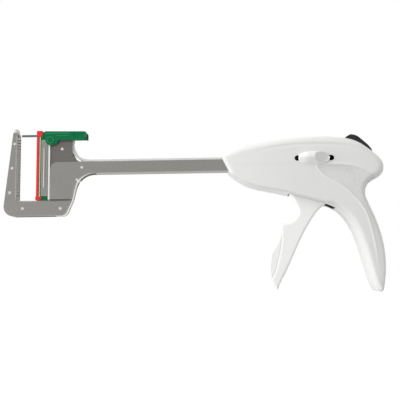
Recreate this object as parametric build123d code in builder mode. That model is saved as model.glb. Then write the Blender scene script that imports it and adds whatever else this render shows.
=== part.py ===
from build123d import *
from math import atan, cos, degrees, radians
import os

# Surgical linear stapler, 60 mm staple line, single trigger.
# Frame: the origin lies on the shaft's axis at the nose of the housing, +Z up.
# The head is at -X, the grip at +X, and the left side faces -Y. Lengths are millimetres.

os.makedirs("parts", exist_ok=True)

# Driving dimensions: staple line
STAPLE_PITCH = 2.8
STAPLES_PER_ROW = 20
ROW_SPACING = 3.2
LINE_CENTRE_Z = 1.6
STAPLE_WIRE = 0.28
STAPLE_LEG = 3.2

# Driving dimensions: plates and shaft
PLATE_T = 1.5
CORE_HALF = 3.5
SHAFT_HALF_H = 5.6
SHAFT_WALL = 1.0
SHAFT_REAR_X = 30.0
LIP_FRONT_X = -120.0
RIVET_R = 1.35
RIVET_DIMPLE = 0.35

# Driving dimensions: head outline, seen from the left
HEAD_TOP = 34.6
HEAD_BOTTOM = -45.5
ANVIL_X = -195.0
ARM_TOP_X = -198.3
ARM_LEAN = 0.111
WINDOW_BOTTOM = -31.5
THROAT_X = -162.7
UPPER_PLATE_REAR_X = -143.0
UPPER_PLATE_TOP = 30.2
FLAG_BOTTOM = -29.9
FLAG_REAR_X = -142.3
HEEL_X = -149.0
NECK_CORNER_X = -136.4
HEEL_R = 6.0
FOOT_R = 9.5
WINDOW_R = 2.0
UPPER_NECK_R = 13.5
LOWER_NECK_R = 18.0
FLAG_TOP_R = 6.5
PLATE_CORNER_R = 2.0
TIP_CORNER_R = 1.0
PLATE_CHAMFER = 0.25

# Driving dimensions: anvil
ANVIL_FLANGE_T = 1.6
ANVIL_BACK_WALL = 0.9
POCKET_LENGTH = 1.9
POCKET_WIDTH = 1.1
POCKET_DEPTH = 0.5
TIP_HEIGHT = 4.3
TIP_LENGTH = 4.3
TIP_HALF_WIDTH = 5.2
GUIDE_PROUD = 1.0
GUIDE_DEPTH = 5.0

# Driving dimensions: moving jaw and reload
JAW_TRAVEL = 18.1
JAW_FACE_X = -176.0
SHELL_SETBACK = 4.8
SHELL_DEPTH = 6.5
SHELL_T = 1.0
SHELL_TOP = 27.0
SHELL_BOTTOM = -26.7
BEAD_LENGTH = 39.3
BEAD_WIDTH = 1.4
BEAD_PROUD = 0.4
DECK_T = 1.0
RELOAD_HALF = 5.2
RELOAD_TOP = 30.4
RELOAD_BOTTOM = -27.2
RELOAD_SIDE_WALL = 1.6
RELOAD_END_WALL = 0.55
RELOAD_FOOT = 3.0
ARM_SETBACK = 8.4
ARM_LENGTH = 38.8
ARM_CORNER_R = 3.2
ARM_TOP = 35.0
ARM_BOTTOM = 26.5
ARM_HALF = 8.0
BOSS_SETBACK = 5.4
BOSS_Z = 26.4
BOSS_R = 4.9
SLIDER_FRONT_T = 1.6
WING_LENGTH = 8.5
TONGUE_REAR_X = -139.0
DRIVER_T = 1.5
RETAINER_T = 2.2
RETAINER_HALF = 5.6
RETAINER_TOP = 36.1
RETAINER_BOTTOM = -30.2
RETAINER_CAP_DEPTH = 3.3
RETAINER_BLOCK = 2.7

# Driving dimensions: retaining pin and its pusher
PIN_R = 1.1
PIN_Z = 32.4
PIN_TIP_X = -192.0
PIN_ADVANCE = 4.8
PIN_RETRACT = 13.0
PUSHER_X = -141.5
PUSHER_HALF = 2.5
STRAP_T = 2.4
STRAP_GAP = 0.15

# Driving dimensions: bars in the shaft
CLOSING_HALF = 3.2
CLOSING_LOW = -4.3
CLOSING_HIGH = 0.3
CLOSING_TIP_HALF = 1.5
FIRING_HALF = 2.4
FIRING_LOW = 0.7
FIRING_HIGH = 4.2
FIRING_REAR_X = 48.0
FIRING_HEAD_HALF = 1.1
FIRING_TRAVEL = 2.5
TAIL_REAR_X = 131.0

# Driving dimensions: trigger
TRIGGER_PIVOT_X = 76.0
TRIGGER_PIVOT_Z = -27.0
TRIGGER_HALF = 6.0
TRIGGER_EDGE_R = 2.4
TRIGGER_PIN_R = 2.0
CLOSING_PIN_R = 1.5
CLOSING_PIN_Z = -2.0
FORK_T = 2.0
FORK_WIDTH = 8.4
HUB_R = 7.0

# Driving dimensions: housing
HOUSING_WALL = 2.2
HOUSING_HALF = 15.0
HOUSING_NOSE_HALF = 10.0
HOUSING_EDGE_R = 2.4
INSET_STEPS = 7
KNOB_SLOT_X = 85.6
KNOB_SLOT_Z = 4.0
KNOB_SLOT_LENGTH = 36.7
KNOB_SLOT_HEIGHT = 5.4
KNOB_X = 84.4
KNOB_LENGTH = 28.6
KNOB_HEIGHT = 12.0
KNOB_PROUD = 5.0
KNOB_NECK = 12.0
CROSSBAR_T = 2.0
SCREW_R = 1.5
SCREW_HEAD_R = 2.7
SCREW_HEAD_H = 2.0
CROSS_SLOT = 0.7
BOSS_WALL = 1.0
SCREW_SEAT = 6.5
PIN_BOSS_WALL = 1.6

# Driving dimensions: release button
BUTTON_PIVOT_X = 116.0
BUTTON_PIVOT_Z = 15.0
BUTTON_HALF = 5.5
BUTTON_PIN_R = 1.2
PAWL_T = 2.4

# Clearances
RUN = 0.3
SNUG = 0.05
FIT = 0.1
SIDE = 0.1

# Values that follow from the driving dimensions
INNER_OUT = CORE_HALF + PLATE_T
OUTER_OUT = INNER_OUT + PLATE_T
ARM_FOOT_X = ARM_TOP_X - ARM_LEAN * (HEAD_TOP - HEAD_BOTTOM)
ANVIL_REAR_X = ANVIL_X - ANVIL_FLANGE_T
CORE_FILL = CORE_HALF - SIDE
SHELL_IN = RELOAD_HALF + SIDE
SHELL_OUT = SHELL_IN + SHELL_T
RETAINER_FRONT_X = JAW_FACE_X
RETAINER_REAR_X = RETAINER_FRONT_X + RETAINER_T
SHELL_FRONT_X = JAW_FACE_X + SHELL_SETBACK
SHELL_REAR_X = SHELL_FRONT_X + SHELL_DEPTH
ARM_FRONT_X = JAW_FACE_X + ARM_SETBACK
ARM_REAR_X = ARM_FRONT_X + ARM_LENGTH
BOSS_X = ARM_FRONT_X + BOSS_SETBACK
DECK_FRONT_X = RETAINER_REAR_X + RUN
DECK_REAR_X = DECK_FRONT_X + DECK_T
RELOAD_REAR_X = SHELL_REAR_X - SHELL_T - RUN
STRAP_BOTTOM = SHAFT_HALF_H + STRAP_GAP
STRAP_TOP = STRAP_BOTTOM + STRAP_T
PIN_HOLE_R = PIN_R + RUN
TRIGGER_LEVER = CLOSING_PIN_Z - TRIGGER_PIVOT_Z
CLOSING_PIN_X = TRIGGER_PIVOT_X + JAW_TRAVEL / 2
ARM_TILT = degrees(atan(JAW_TRAVEL / 2 / TRIGGER_LEVER))
SIDES = {"left": 1, "right": -1}

arm_rivet_points = [(-196.9, 23.6), (-198.8, 0.3), (-200.7, -23.0)]
heel_rivet_points = [(-188.2, -38.3), (-152.8, -38.7)]
through_rivet_points = arm_rivet_points + heel_rivet_points
upper_rivet_points = [(-151.9, 18.2)]
cover_rivet_points = [(-132.8, 0.0), (-137.4, -11.8)]


def arm_back_x(z):
    """Leaning outer edge of the anvil arm at height z."""
    return ARM_TOP_X - ARM_LEAN * (HEAD_TOP - z)


def slab(outline, near, far):
    """Solid of a side-view outline between two distances from the mid plane, left positive."""
    with BuildPart() as piece:
        with BuildSketch(Plane.XZ.offset(near)):
            add(outline)
        extrude(amount=far - near)
    return piece.part


def side_span(side, near, far):
    """Start and end of a side piece along the outward left direction."""
    return (near, far) if side > 0 else (-far, -near)


def finish(builder, label):
    """Label a piece and write its STEP file."""
    builder.part.label = label
    export_step(builder.part, f"parts/{label}.step")


# Outline of the outer doubler: anvil arm and lower arm in one J
with BuildSketch() as doubler_outline:
    with BuildLine():
        Polyline(
            (ARM_TOP_X, HEAD_TOP),
            (ANVIL_X, HEAD_TOP),
            (ANVIL_X, WINDOW_BOTTOM),
            (FLAG_REAR_X - 0.6, WINDOW_BOTTOM),
            (HEEL_X, HEAD_BOTTOM),
            (ARM_FOOT_X, HEAD_BOTTOM),
            close=True,
        )
    make_face()
    rounded_corners = [
        ((ARM_FOOT_X, HEAD_BOTTOM), FOOT_R),
        ((HEEL_X, HEAD_BOTTOM), HEEL_R),
        ((ANVIL_X, WINDOW_BOTTOM), WINDOW_R),
        ((ARM_TOP_X, HEAD_TOP), TIP_CORNER_R),
    ]
    for corner, corner_r in rounded_corners:
        fillet(doubler_outline.vertices().sort_by_distance(corner)[0], corner_r)
    with Locations(*through_rivet_points):
        Circle(RIVET_R, mode=Mode.SUBTRACT)

# Outline of the shaft cover, whose front end flares into the flag
with BuildSketch() as cover_outline:
    with BuildLine():
        Polyline(
            (THROAT_X, FLAG_BOTTOM),
            (THROAT_X, SHAFT_HALF_H),
            (SHAFT_REAR_X, SHAFT_HALF_H),
            (SHAFT_REAR_X, -SHAFT_HALF_H),
            (NECK_CORNER_X, -SHAFT_HALF_H),
            (FLAG_REAR_X, FLAG_BOTTOM),
            close=True,
        )
    make_face()
    fillet(cover_outline.vertices().sort_by_distance((THROAT_X, SHAFT_HALF_H))[0], FLAG_TOP_R)
    fillet(cover_outline.vertices().sort_by_distance((NECK_CORNER_X, -SHAFT_HALF_H))[0], LOWER_NECK_R)
    with Locations(*cover_rivet_points):
        Circle(RIVET_R, mode=Mode.SUBTRACT)

# Outline of the inner C frame plate, from the anvil arm round to the shaft
with BuildSketch() as frame_outline:
    with BuildLine():
        Polyline(
            (THROAT_X, UPPER_PLATE_TOP),
            (UPPER_PLATE_REAR_X, UPPER_PLATE_TOP),
            (UPPER_PLATE_REAR_X, SHAFT_HALF_H - SHAFT_WALL),
            (SHAFT_REAR_X, SHAFT_HALF_H - SHAFT_WALL),
            (SHAFT_REAR_X, -SHAFT_HALF_H + SHAFT_WALL),
            (NECK_CORNER_X, -SHAFT_HALF_H + SHAFT_WALL),
            (FLAG_REAR_X - 0.3, WINDOW_BOTTOM),
            (HEEL_X, HEAD_BOTTOM),
            (ARM_FOOT_X, HEAD_BOTTOM),
            (ARM_TOP_X, HEAD_TOP),
            (ANVIL_REAR_X, HEAD_TOP),
            (ANVIL_REAR_X, WINDOW_BOTTOM),
            (THROAT_X, WINDOW_BOTTOM),
            close=True,
        )
    make_face()
    rounded_corners = [
        ((ARM_FOOT_X, HEAD_BOTTOM), FOOT_R),
        ((HEEL_X, HEAD_BOTTOM), HEEL_R),
        ((UPPER_PLATE_REAR_X, SHAFT_HALF_H - SHAFT_WALL), UPPER_NECK_R),
        ((NECK_CORNER_X, -SHAFT_HALF_H + SHAFT_WALL), LOWER_NECK_R),
        ((UPPER_PLATE_REAR_X, UPPER_PLATE_TOP), PLATE_CORNER_R),
        ((ARM_TOP_X, HEAD_TOP), TIP_CORNER_R),
    ]
    for corner, corner_r in rounded_corners:
        fillet(frame_outline.vertices().sort_by_distance(corner)[0], corner_r)
    with Locations(*through_rivet_points, *upper_rivet_points, *cover_rivet_points):
        Circle(RIVET_R, mode=Mode.SUBTRACT)

for side_name, side in SIDES.items():
    # Inner C frame plate
    with BuildPart() as frame_plate:
        add(slab(frame_outline.sketch, *side_span(side, CORE_HALF, INNER_OUT)))
    finish(frame_plate, f"frame_plate_{side_name}")

    # Outer doubler on the jaw
    with BuildPart() as jaw_doubler:
        add(slab(doubler_outline.sketch, *side_span(side, INNER_OUT, OUTER_OUT)))
        outer_face = jaw_doubler.faces().sort_by(Axis.Y)[0 if side > 0 else -1]
        chamfer(outer_face.outer_wire().edges(), PLATE_CHAMFER)
    finish(jaw_doubler, f"jaw_doubler_{side_name}")

    # Shaft cover: a side plate with an upper and a lower lip that meet those of the other side
    with BuildPart() as shaft_cover:
        add(slab(cover_outline.sketch, *side_span(side, INNER_OUT, OUTER_OUT)))
        outer_face = shaft_cover.faces().sort_by(Axis.Y)[0 if side > 0 else -1]
        chamfer(outer_face.outer_wire().edges(), PLATE_CHAMFER)
        lip_length = SHAFT_REAR_X - LIP_FRONT_X
        lip_middle = (SHAFT_REAR_X + LIP_FRONT_X) / 2
        with BuildSketch(Plane.XZ.offset(side_span(side, 0, INNER_OUT)[0])):
            with Locations(
                (lip_middle, SHAFT_HALF_H - SHAFT_WALL / 2), (lip_middle, SHAFT_WALL / 2 - SHAFT_HALF_H)
            ):
                Rectangle(lip_length, SHAFT_WALL)
        extrude(amount=INNER_OUT)
    finish(shaft_cover, f"shaft_cover_{side_name}")


def rivet(builder_points, half_length):
    """Flush rivets through both sides, with a shallow dimple in each end."""
    with BuildPart() as group:
        with BuildSketch(Plane.XZ.offset(-half_length)):
            with Locations(*builder_points):
                Circle(RIVET_R - 0.01)
        extrude(amount=2 * half_length)
        for end in (half_length, -half_length):
            with BuildSketch(Plane.XZ.offset(end)):
                with Locations(*builder_points):
                    Circle(RIVET_R * 0.62)
            extrude(amount=-RIVET_DIMPLE if end > 0 else RIVET_DIMPLE, mode=Mode.SUBTRACT)
    return group


# Rivets through the arms of the jaw
with BuildPart() as jaw_rivets:
    add(rivet(through_rivet_points, OUTER_OUT).part)
finish(jaw_rivets, "jaw_rivets")

# Rivet through the two upper plates
with BuildPart() as upper_rivet:
    add(rivet(upper_rivet_points, INNER_OUT).part)
finish(upper_rivet, "upper_rivet")

# Short rivets that hold each shaft cover to its frame plate and leave the core free
with BuildPart() as cover_rivets:
    for side in SIDES.values():
        near, far = side_span(side, CORE_HALF, OUTER_OUT)
        with BuildSketch(Plane.XZ.offset(near)):
            with Locations(*cover_rivet_points):
                Circle(RIVET_R - 0.01)
        extrude(amount=far - near)
        with BuildSketch(Plane.XZ.offset(far if side > 0 else near)):
            with Locations(*cover_rivet_points):
                Circle(RIVET_R * 0.62)
        extrude(amount=-RIVET_DIMPLE * side, mode=Mode.SUBTRACT)
finish(cover_rivets, "cover_rivets")

# Anvil: a flange between the doublers, a web between the frame plates and two rows of pockets
with BuildPart() as anvil:
    anvil_height = HEAD_TOP - WINDOW_BOTTOM - FIT
    with BuildSketch(Plane.YZ.offset(ANVIL_REAR_X + FIT / 2)):
        with Locations((0, WINDOW_BOTTOM + FIT + anvil_height / 2)):
            Rectangle(2 * (INNER_OUT - SIDE), anvil_height)
    extrude(amount=ANVIL_X - ANVIL_REAR_X - FIT / 2)
    with BuildSketch(Plane.XZ.offset(-CORE_FILL)):
        with BuildLine():
            Polyline(
                (ANVIL_REAR_X + FIT, WINDOW_BOTTOM + FIT),
                (ANVIL_REAR_X + FIT, HEAD_TOP),
                (arm_back_x(HEAD_TOP) + ANVIL_BACK_WALL, HEAD_TOP),
                (arm_back_x(WINDOW_BOTTOM) + ANVIL_BACK_WALL, WINDOW_BOTTOM + FIT),
                close=True,
            )
        make_face()
    extrude(amount=2 * CORE_FILL)
    with BuildSketch(Plane.YZ.offset(ANVIL_X)):
        for row, shift in ((-1, -1), (1, 1)):
            with Locations((row * ROW_SPACING / 2, LINE_CENTRE_Z + shift * STAPLE_PITCH / 4)):
                with GridLocations(ROW_SPACING, STAPLE_PITCH, 1, STAPLES_PER_ROW):
                    Rectangle(POCKET_WIDTH, POCKET_LENGTH)
    extrude(amount=-POCKET_DEPTH, mode=Mode.SUBTRACT)
    with BuildSketch(Plane.YZ.offset(ANVIL_X)):
        with Locations((0, PIN_Z)):
            Circle(PIN_HOLE_R)
    extrude(amount=PIN_TIP_X - PIN_ADVANCE - RUN - ANVIL_X, mode=Mode.SUBTRACT)
    with BuildSketch(Plane.XZ.offset(-OUTER_OUT)):
        with Locations(*arm_rivet_points):
            Circle(RIVET_R)
    extrude(amount=2 * OUTER_OUT, mode=Mode.SUBTRACT)
finish(anvil, "anvil")

# White tip that caps the anvil arm
with BuildPart() as anvil_tip:
    with BuildSketch(Plane.XY.offset(HEAD_TOP)):
        with Locations((ANVIL_X - TIP_LENGTH / 2, 0)):
            RectangleRounded(TIP_LENGTH, 2 * TIP_HALF_WIDTH, TIP_LENGTH * 0.3)
    extrude(amount=TIP_HEIGHT, taper=4)
    fillet(anvil_tip.edges().group_by(Axis.Z)[-1], TIP_LENGTH * 0.3)
finish(anvil_tip, "anvil_tip")

# White guide in the lower arm, on which the jaw runs
with BuildPart() as lower_guide:
    guide_rear = HEEL_X + 1.0
    guide_front = ANVIL_X + 0.4
    with BuildSketch(Plane.XY.offset(WINDOW_BOTTOM + GUIDE_PROUD)):
        with Locations(((guide_front + guide_rear) / 2, 0)):
            Rectangle(guide_rear - guide_front, 2 * CORE_FILL)
    extrude(amount=-GUIDE_PROUD - GUIDE_DEPTH)
    chamfer(lower_guide.edges().group_by(Axis.Z)[-1], 0.3)
    with BuildSketch(Plane.XZ.offset(-CORE_HALF)):
        with Locations(*heel_rivet_points):
            Circle(RIVET_R)
    extrude(amount=2 * CORE_HALF, mode=Mode.SUBTRACT)
finish(lower_guide, "lower_guide")

# Steel shell of the moving jaw: two sides with a bead each, and a slotted web
with BuildPart() as jaw_shell:
    shell_height = SHELL_TOP - SHELL_BOTTOM
    shell_middle = (SHELL_TOP + SHELL_BOTTOM) / 2
    with BuildSketch(Plane.XY.offset(SHELL_BOTTOM)):
        with Locations(((SHELL_FRONT_X + SHELL_REAR_X) / 2, 0)):
            Rectangle(SHELL_REAR_X - SHELL_FRONT_X, 2 * SHELL_OUT)
        with Locations(((SHELL_FRONT_X + SHELL_REAR_X) / 2 - SHELL_T, 0)):
            Rectangle(SHELL_REAR_X - SHELL_FRONT_X, 2 * SHELL_IN, mode=Mode.SUBTRACT)
    extrude(amount=shell_height)
    rear_corners = jaw_shell.edges().filter_by(Axis.Z).group_by(Axis.X)[-1]
    fillet(rear_corners, SHELL_T * 0.9)
    with BuildSketch(Plane.YZ.offset(SHELL_REAR_X)):
        with Locations((0, shell_middle)):
            Rectangle(2 * (FIRING_HEAD_HALF + RUN), shell_height - 2.4)
    extrude(amount=-SHELL_T, mode=Mode.SUBTRACT)
    for side in SIDES.values():
        near, far = side_span(side, SHELL_OUT, SHELL_OUT + BEAD_PROUD)
        with BuildSketch(Plane.XZ.offset(near)):
            with Locations(((SHELL_FRONT_X + SHELL_REAR_X) / 2 - 0.4, shell_middle)):
                SlotOverall(BEAD_LENGTH, BEAD_WIDTH, rotation=90)
        extrude(amount=far - near)
        bead_face = jaw_shell.faces().sort_by(Axis.Y)[0 if side > 0 else -1]
        chamfer(bead_face.outer_wire().edges(), BEAD_PROUD * 0.8)
finish(jaw_shell, "jaw_shell")

# White slider behind the shell: a front plate, wings between the frame plates and a tongue
with BuildPart() as jaw_slider:
    slider_x = SHELL_REAR_X + FIT
    wing_front_x = slider_x + SLIDER_FRONT_T
    wing_rear_x = wing_front_x + WING_LENGTH
    slider_low = WINDOW_BOTTOM + GUIDE_PROUD + RUN
    head_low = SHELL_BOTTOM + 1.2
    head_high = SHELL_TOP - 1.2
    with BuildSketch(Plane.YZ.offset(slider_x)):
        with Locations((0, (slider_low + SHELL_TOP) / 2)):
            Rectangle(2 * SHELL_OUT, SHELL_TOP - slider_low)
    extrude(amount=SLIDER_FRONT_T)
    with BuildSketch(Plane.YZ.offset(wing_front_x)):
        with Locations((0, (SHELL_BOTTOM + SHELL_TOP) / 2)):
            Rectangle(2 * CORE_FILL, SHELL_TOP - SHELL_BOTTOM)
    extrude(amount=WING_LENGTH)
    fillet(jaw_slider.edges().filter_by(Axis.Y).group_by(Axis.X)[-1], 2.0)
    with BuildSketch(Plane.YZ.offset(slider_x)):
        with Locations((0, (head_low + head_high) / 2)):
            Rectangle(2 * (FIRING_HEAD_HALF + RUN), head_high - head_low)
    extrude(amount=SLIDER_FRONT_T + WING_LENGTH * 0.7, mode=Mode.SUBTRACT)
    with BuildSketch(Plane.YZ.offset(wing_front_x)):
        with Locations((0, (FIRING_LOW + FIRING_HIGH) / 2)):
            Rectangle(2 * (FIRING_HALF + RUN), FIRING_HIGH - FIRING_LOW + 2 * RUN)
    extrude(amount=WING_LENGTH, mode=Mode.SUBTRACT)
    with BuildSketch(Plane.YZ.offset(wing_rear_x)):
        with Locations((0, (CLOSING_LOW + CLOSING_HIGH) / 2)):
            Rectangle(2 * CORE_FILL, CLOSING_HIGH - CLOSING_LOW)
    extrude(amount=TONGUE_REAR_X - wing_rear_x)
    with BuildSketch(Plane.YZ.offset(TONGUE_REAR_X)):
        with Locations((0, (CLOSING_LOW + CLOSING_HIGH) / 2)):
            Rectangle(2 * (CLOSING_TIP_HALF + SIDE), CLOSING_HIGH - CLOSING_LOW)
    extrude(amount=wing_rear_x + 3.0 - TONGUE_REAR_X, mode=Mode.SUBTRACT)
    jaw_pin_x = (TONGUE_REAR_X + wing_rear_x + 3.0) / 2
    jaw_pin_z = (CLOSING_LOW + CLOSING_HIGH) / 2
    with BuildSketch(Plane.XZ.offset(-CORE_HALF)):
        with Locations((jaw_pin_x, jaw_pin_z)):
            Circle(CLOSING_PIN_R * 0.8)
    extrude(amount=2 * CORE_HALF, mode=Mode.SUBTRACT)
finish(jaw_slider, "jaw_slider")

# Pin that joins the closing bar to the tongue
with BuildPart() as jaw_pin:
    with BuildSketch(Plane.XZ.offset(-CORE_FILL)):
        with Locations((jaw_pin_x, jaw_pin_z)):
            Circle(CLOSING_PIN_R * 0.8 - 0.01)
    extrude(amount=2 * CORE_FILL)
finish(jaw_pin, "jaw_pin")

# Closing bar: a flat bar along the shaft with a thin tip and a notched tail
with BuildPart() as closing_bar:
    tip_front_x = wing_rear_x + 3.0 + FIT
    tail_front_x = CLOSING_PIN_X + FORK_WIDTH / 2
    notch_x = BUTTON_PIVOT_X - 8.0 + JAW_TRAVEL
    with BuildSketch(Plane.XY.offset(CLOSING_LOW)):
        with Locations(((TONGUE_REAR_X + FIT + tail_front_x) / 2, 0)):
            Rectangle(tail_front_x - TONGUE_REAR_X - FIT, 2 * CLOSING_HALF)
        with Locations(((tip_front_x + TAIL_REAR_X) / 2, 0)):
            Rectangle(TAIL_REAR_X - tip_front_x, 2 * CLOSING_TIP_HALF)
    extrude(amount=CLOSING_HIGH - CLOSING_LOW)
    chamfer(closing_bar.edges().filter_by(Axis.Z).group_by(Axis.X)[-1], 0.8)
    with BuildSketch(Plane.XZ.offset(-CLOSING_TIP_HALF)):
        with Locations((notch_x, CLOSING_HIGH)):
            Rectangle(PAWL_T + 0.8, 2.4)
    extrude(amount=2 * CLOSING_TIP_HALF, mode=Mode.SUBTRACT)
    with BuildSketch(Plane.XZ.offset(-CORE_HALF)):
        with Locations((jaw_pin_x, jaw_pin_z)):
            Circle(CLOSING_PIN_R * 0.8)
        with Locations((CLOSING_PIN_X, CLOSING_PIN_Z)):
            Circle(CLOSING_PIN_R)
    extrude(amount=2 * CORE_HALF, mode=Mode.SUBTRACT)
finish(closing_bar, "closing_bar")

# Cross pin on the closing bar, which the trigger's fork drives
with BuildPart() as closing_pin:
    with BuildSketch(Plane.XZ.offset(-(CLOSING_HALF + FORK_T + 2 * RUN))):
        with Locations((CLOSING_PIN_X, CLOSING_PIN_Z)):
            Circle(CLOSING_PIN_R - 0.01)
    extrude(amount=2 * (CLOSING_HALF + FORK_T + 2 * RUN))
finish(closing_pin, "closing_pin")

# Firing bar above it, with a tall head in the slot of the slider
with BuildPart() as firing_bar:
    firing_head_front_x = slider_x - 0.5
    firing_head_rear_x = wing_front_x + WING_LENGTH * 0.7 - RUN
    with BuildSketch(Plane.YZ.offset(firing_head_rear_x - 1.0)):
        with Locations((0, (FIRING_LOW + FIRING_HIGH) / 2)):
            Rectangle(2 * FIRING_HALF, FIRING_HIGH - FIRING_LOW)
    extrude(amount=FIRING_REAR_X - firing_head_rear_x + 1.0)
    with BuildSketch(Plane.XZ.offset(-FIRING_HEAD_HALF)):
        with Locations(((firing_head_front_x + firing_head_rear_x) / 2, (head_low + head_high) / 2)):
            Rectangle(firing_head_rear_x - firing_head_front_x, head_high - head_low - 2 * RUN)
    extrude(amount=2 * FIRING_HEAD_HALF)
finish(firing_bar, "firing_bar")


def slot_grid(length, width):
    """Both staggered rows of the staple line, drawn in the open sketch."""
    for row in (-1, 1):
        with Locations((row * ROW_SPACING / 2, LINE_CENTRE_Z + row * STAPLE_PITCH / 4)):
            with GridLocations(ROW_SPACING, STAPLE_PITCH, 1, STAPLES_PER_ROW):
                Rectangle(width, length)


SLOT_LENGTH = STAPLE_PITCH * 0.82
SLOT_WIDTH = STAPLE_WIRE * 3
driver_rear_x = firing_head_front_x - FIRING_TRAVEL - RUN
driver_front_x = driver_rear_x - DRIVER_T
cavity_front_x = driver_front_x - FIT
finger_front_x = cavity_front_x - 0.8

# Cream deck of the reload, with the staple slots
with BuildPart() as reload_deck:
    with BuildSketch(Plane.YZ.offset(DECK_REAR_X)):
        with Locations((0, (RELOAD_TOP + RELOAD_BOTTOM) / 2)):
            Rectangle(2 * RELOAD_HALF, RELOAD_TOP - RELOAD_BOTTOM)
    extrude(amount=-DECK_T)
    chamfer(reload_deck.edges().filter_by(Axis.Z).group_by(Axis.X)[0], 0.3)
    with BuildSketch(Plane.YZ.offset(DECK_REAR_X)) as deck_slots:
        slot_grid(SLOT_LENGTH, SLOT_WIDTH)
    extrude(amount=-DECK_T, mode=Mode.SUBTRACT)
finish(reload_deck, "reload_deck")

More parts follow.
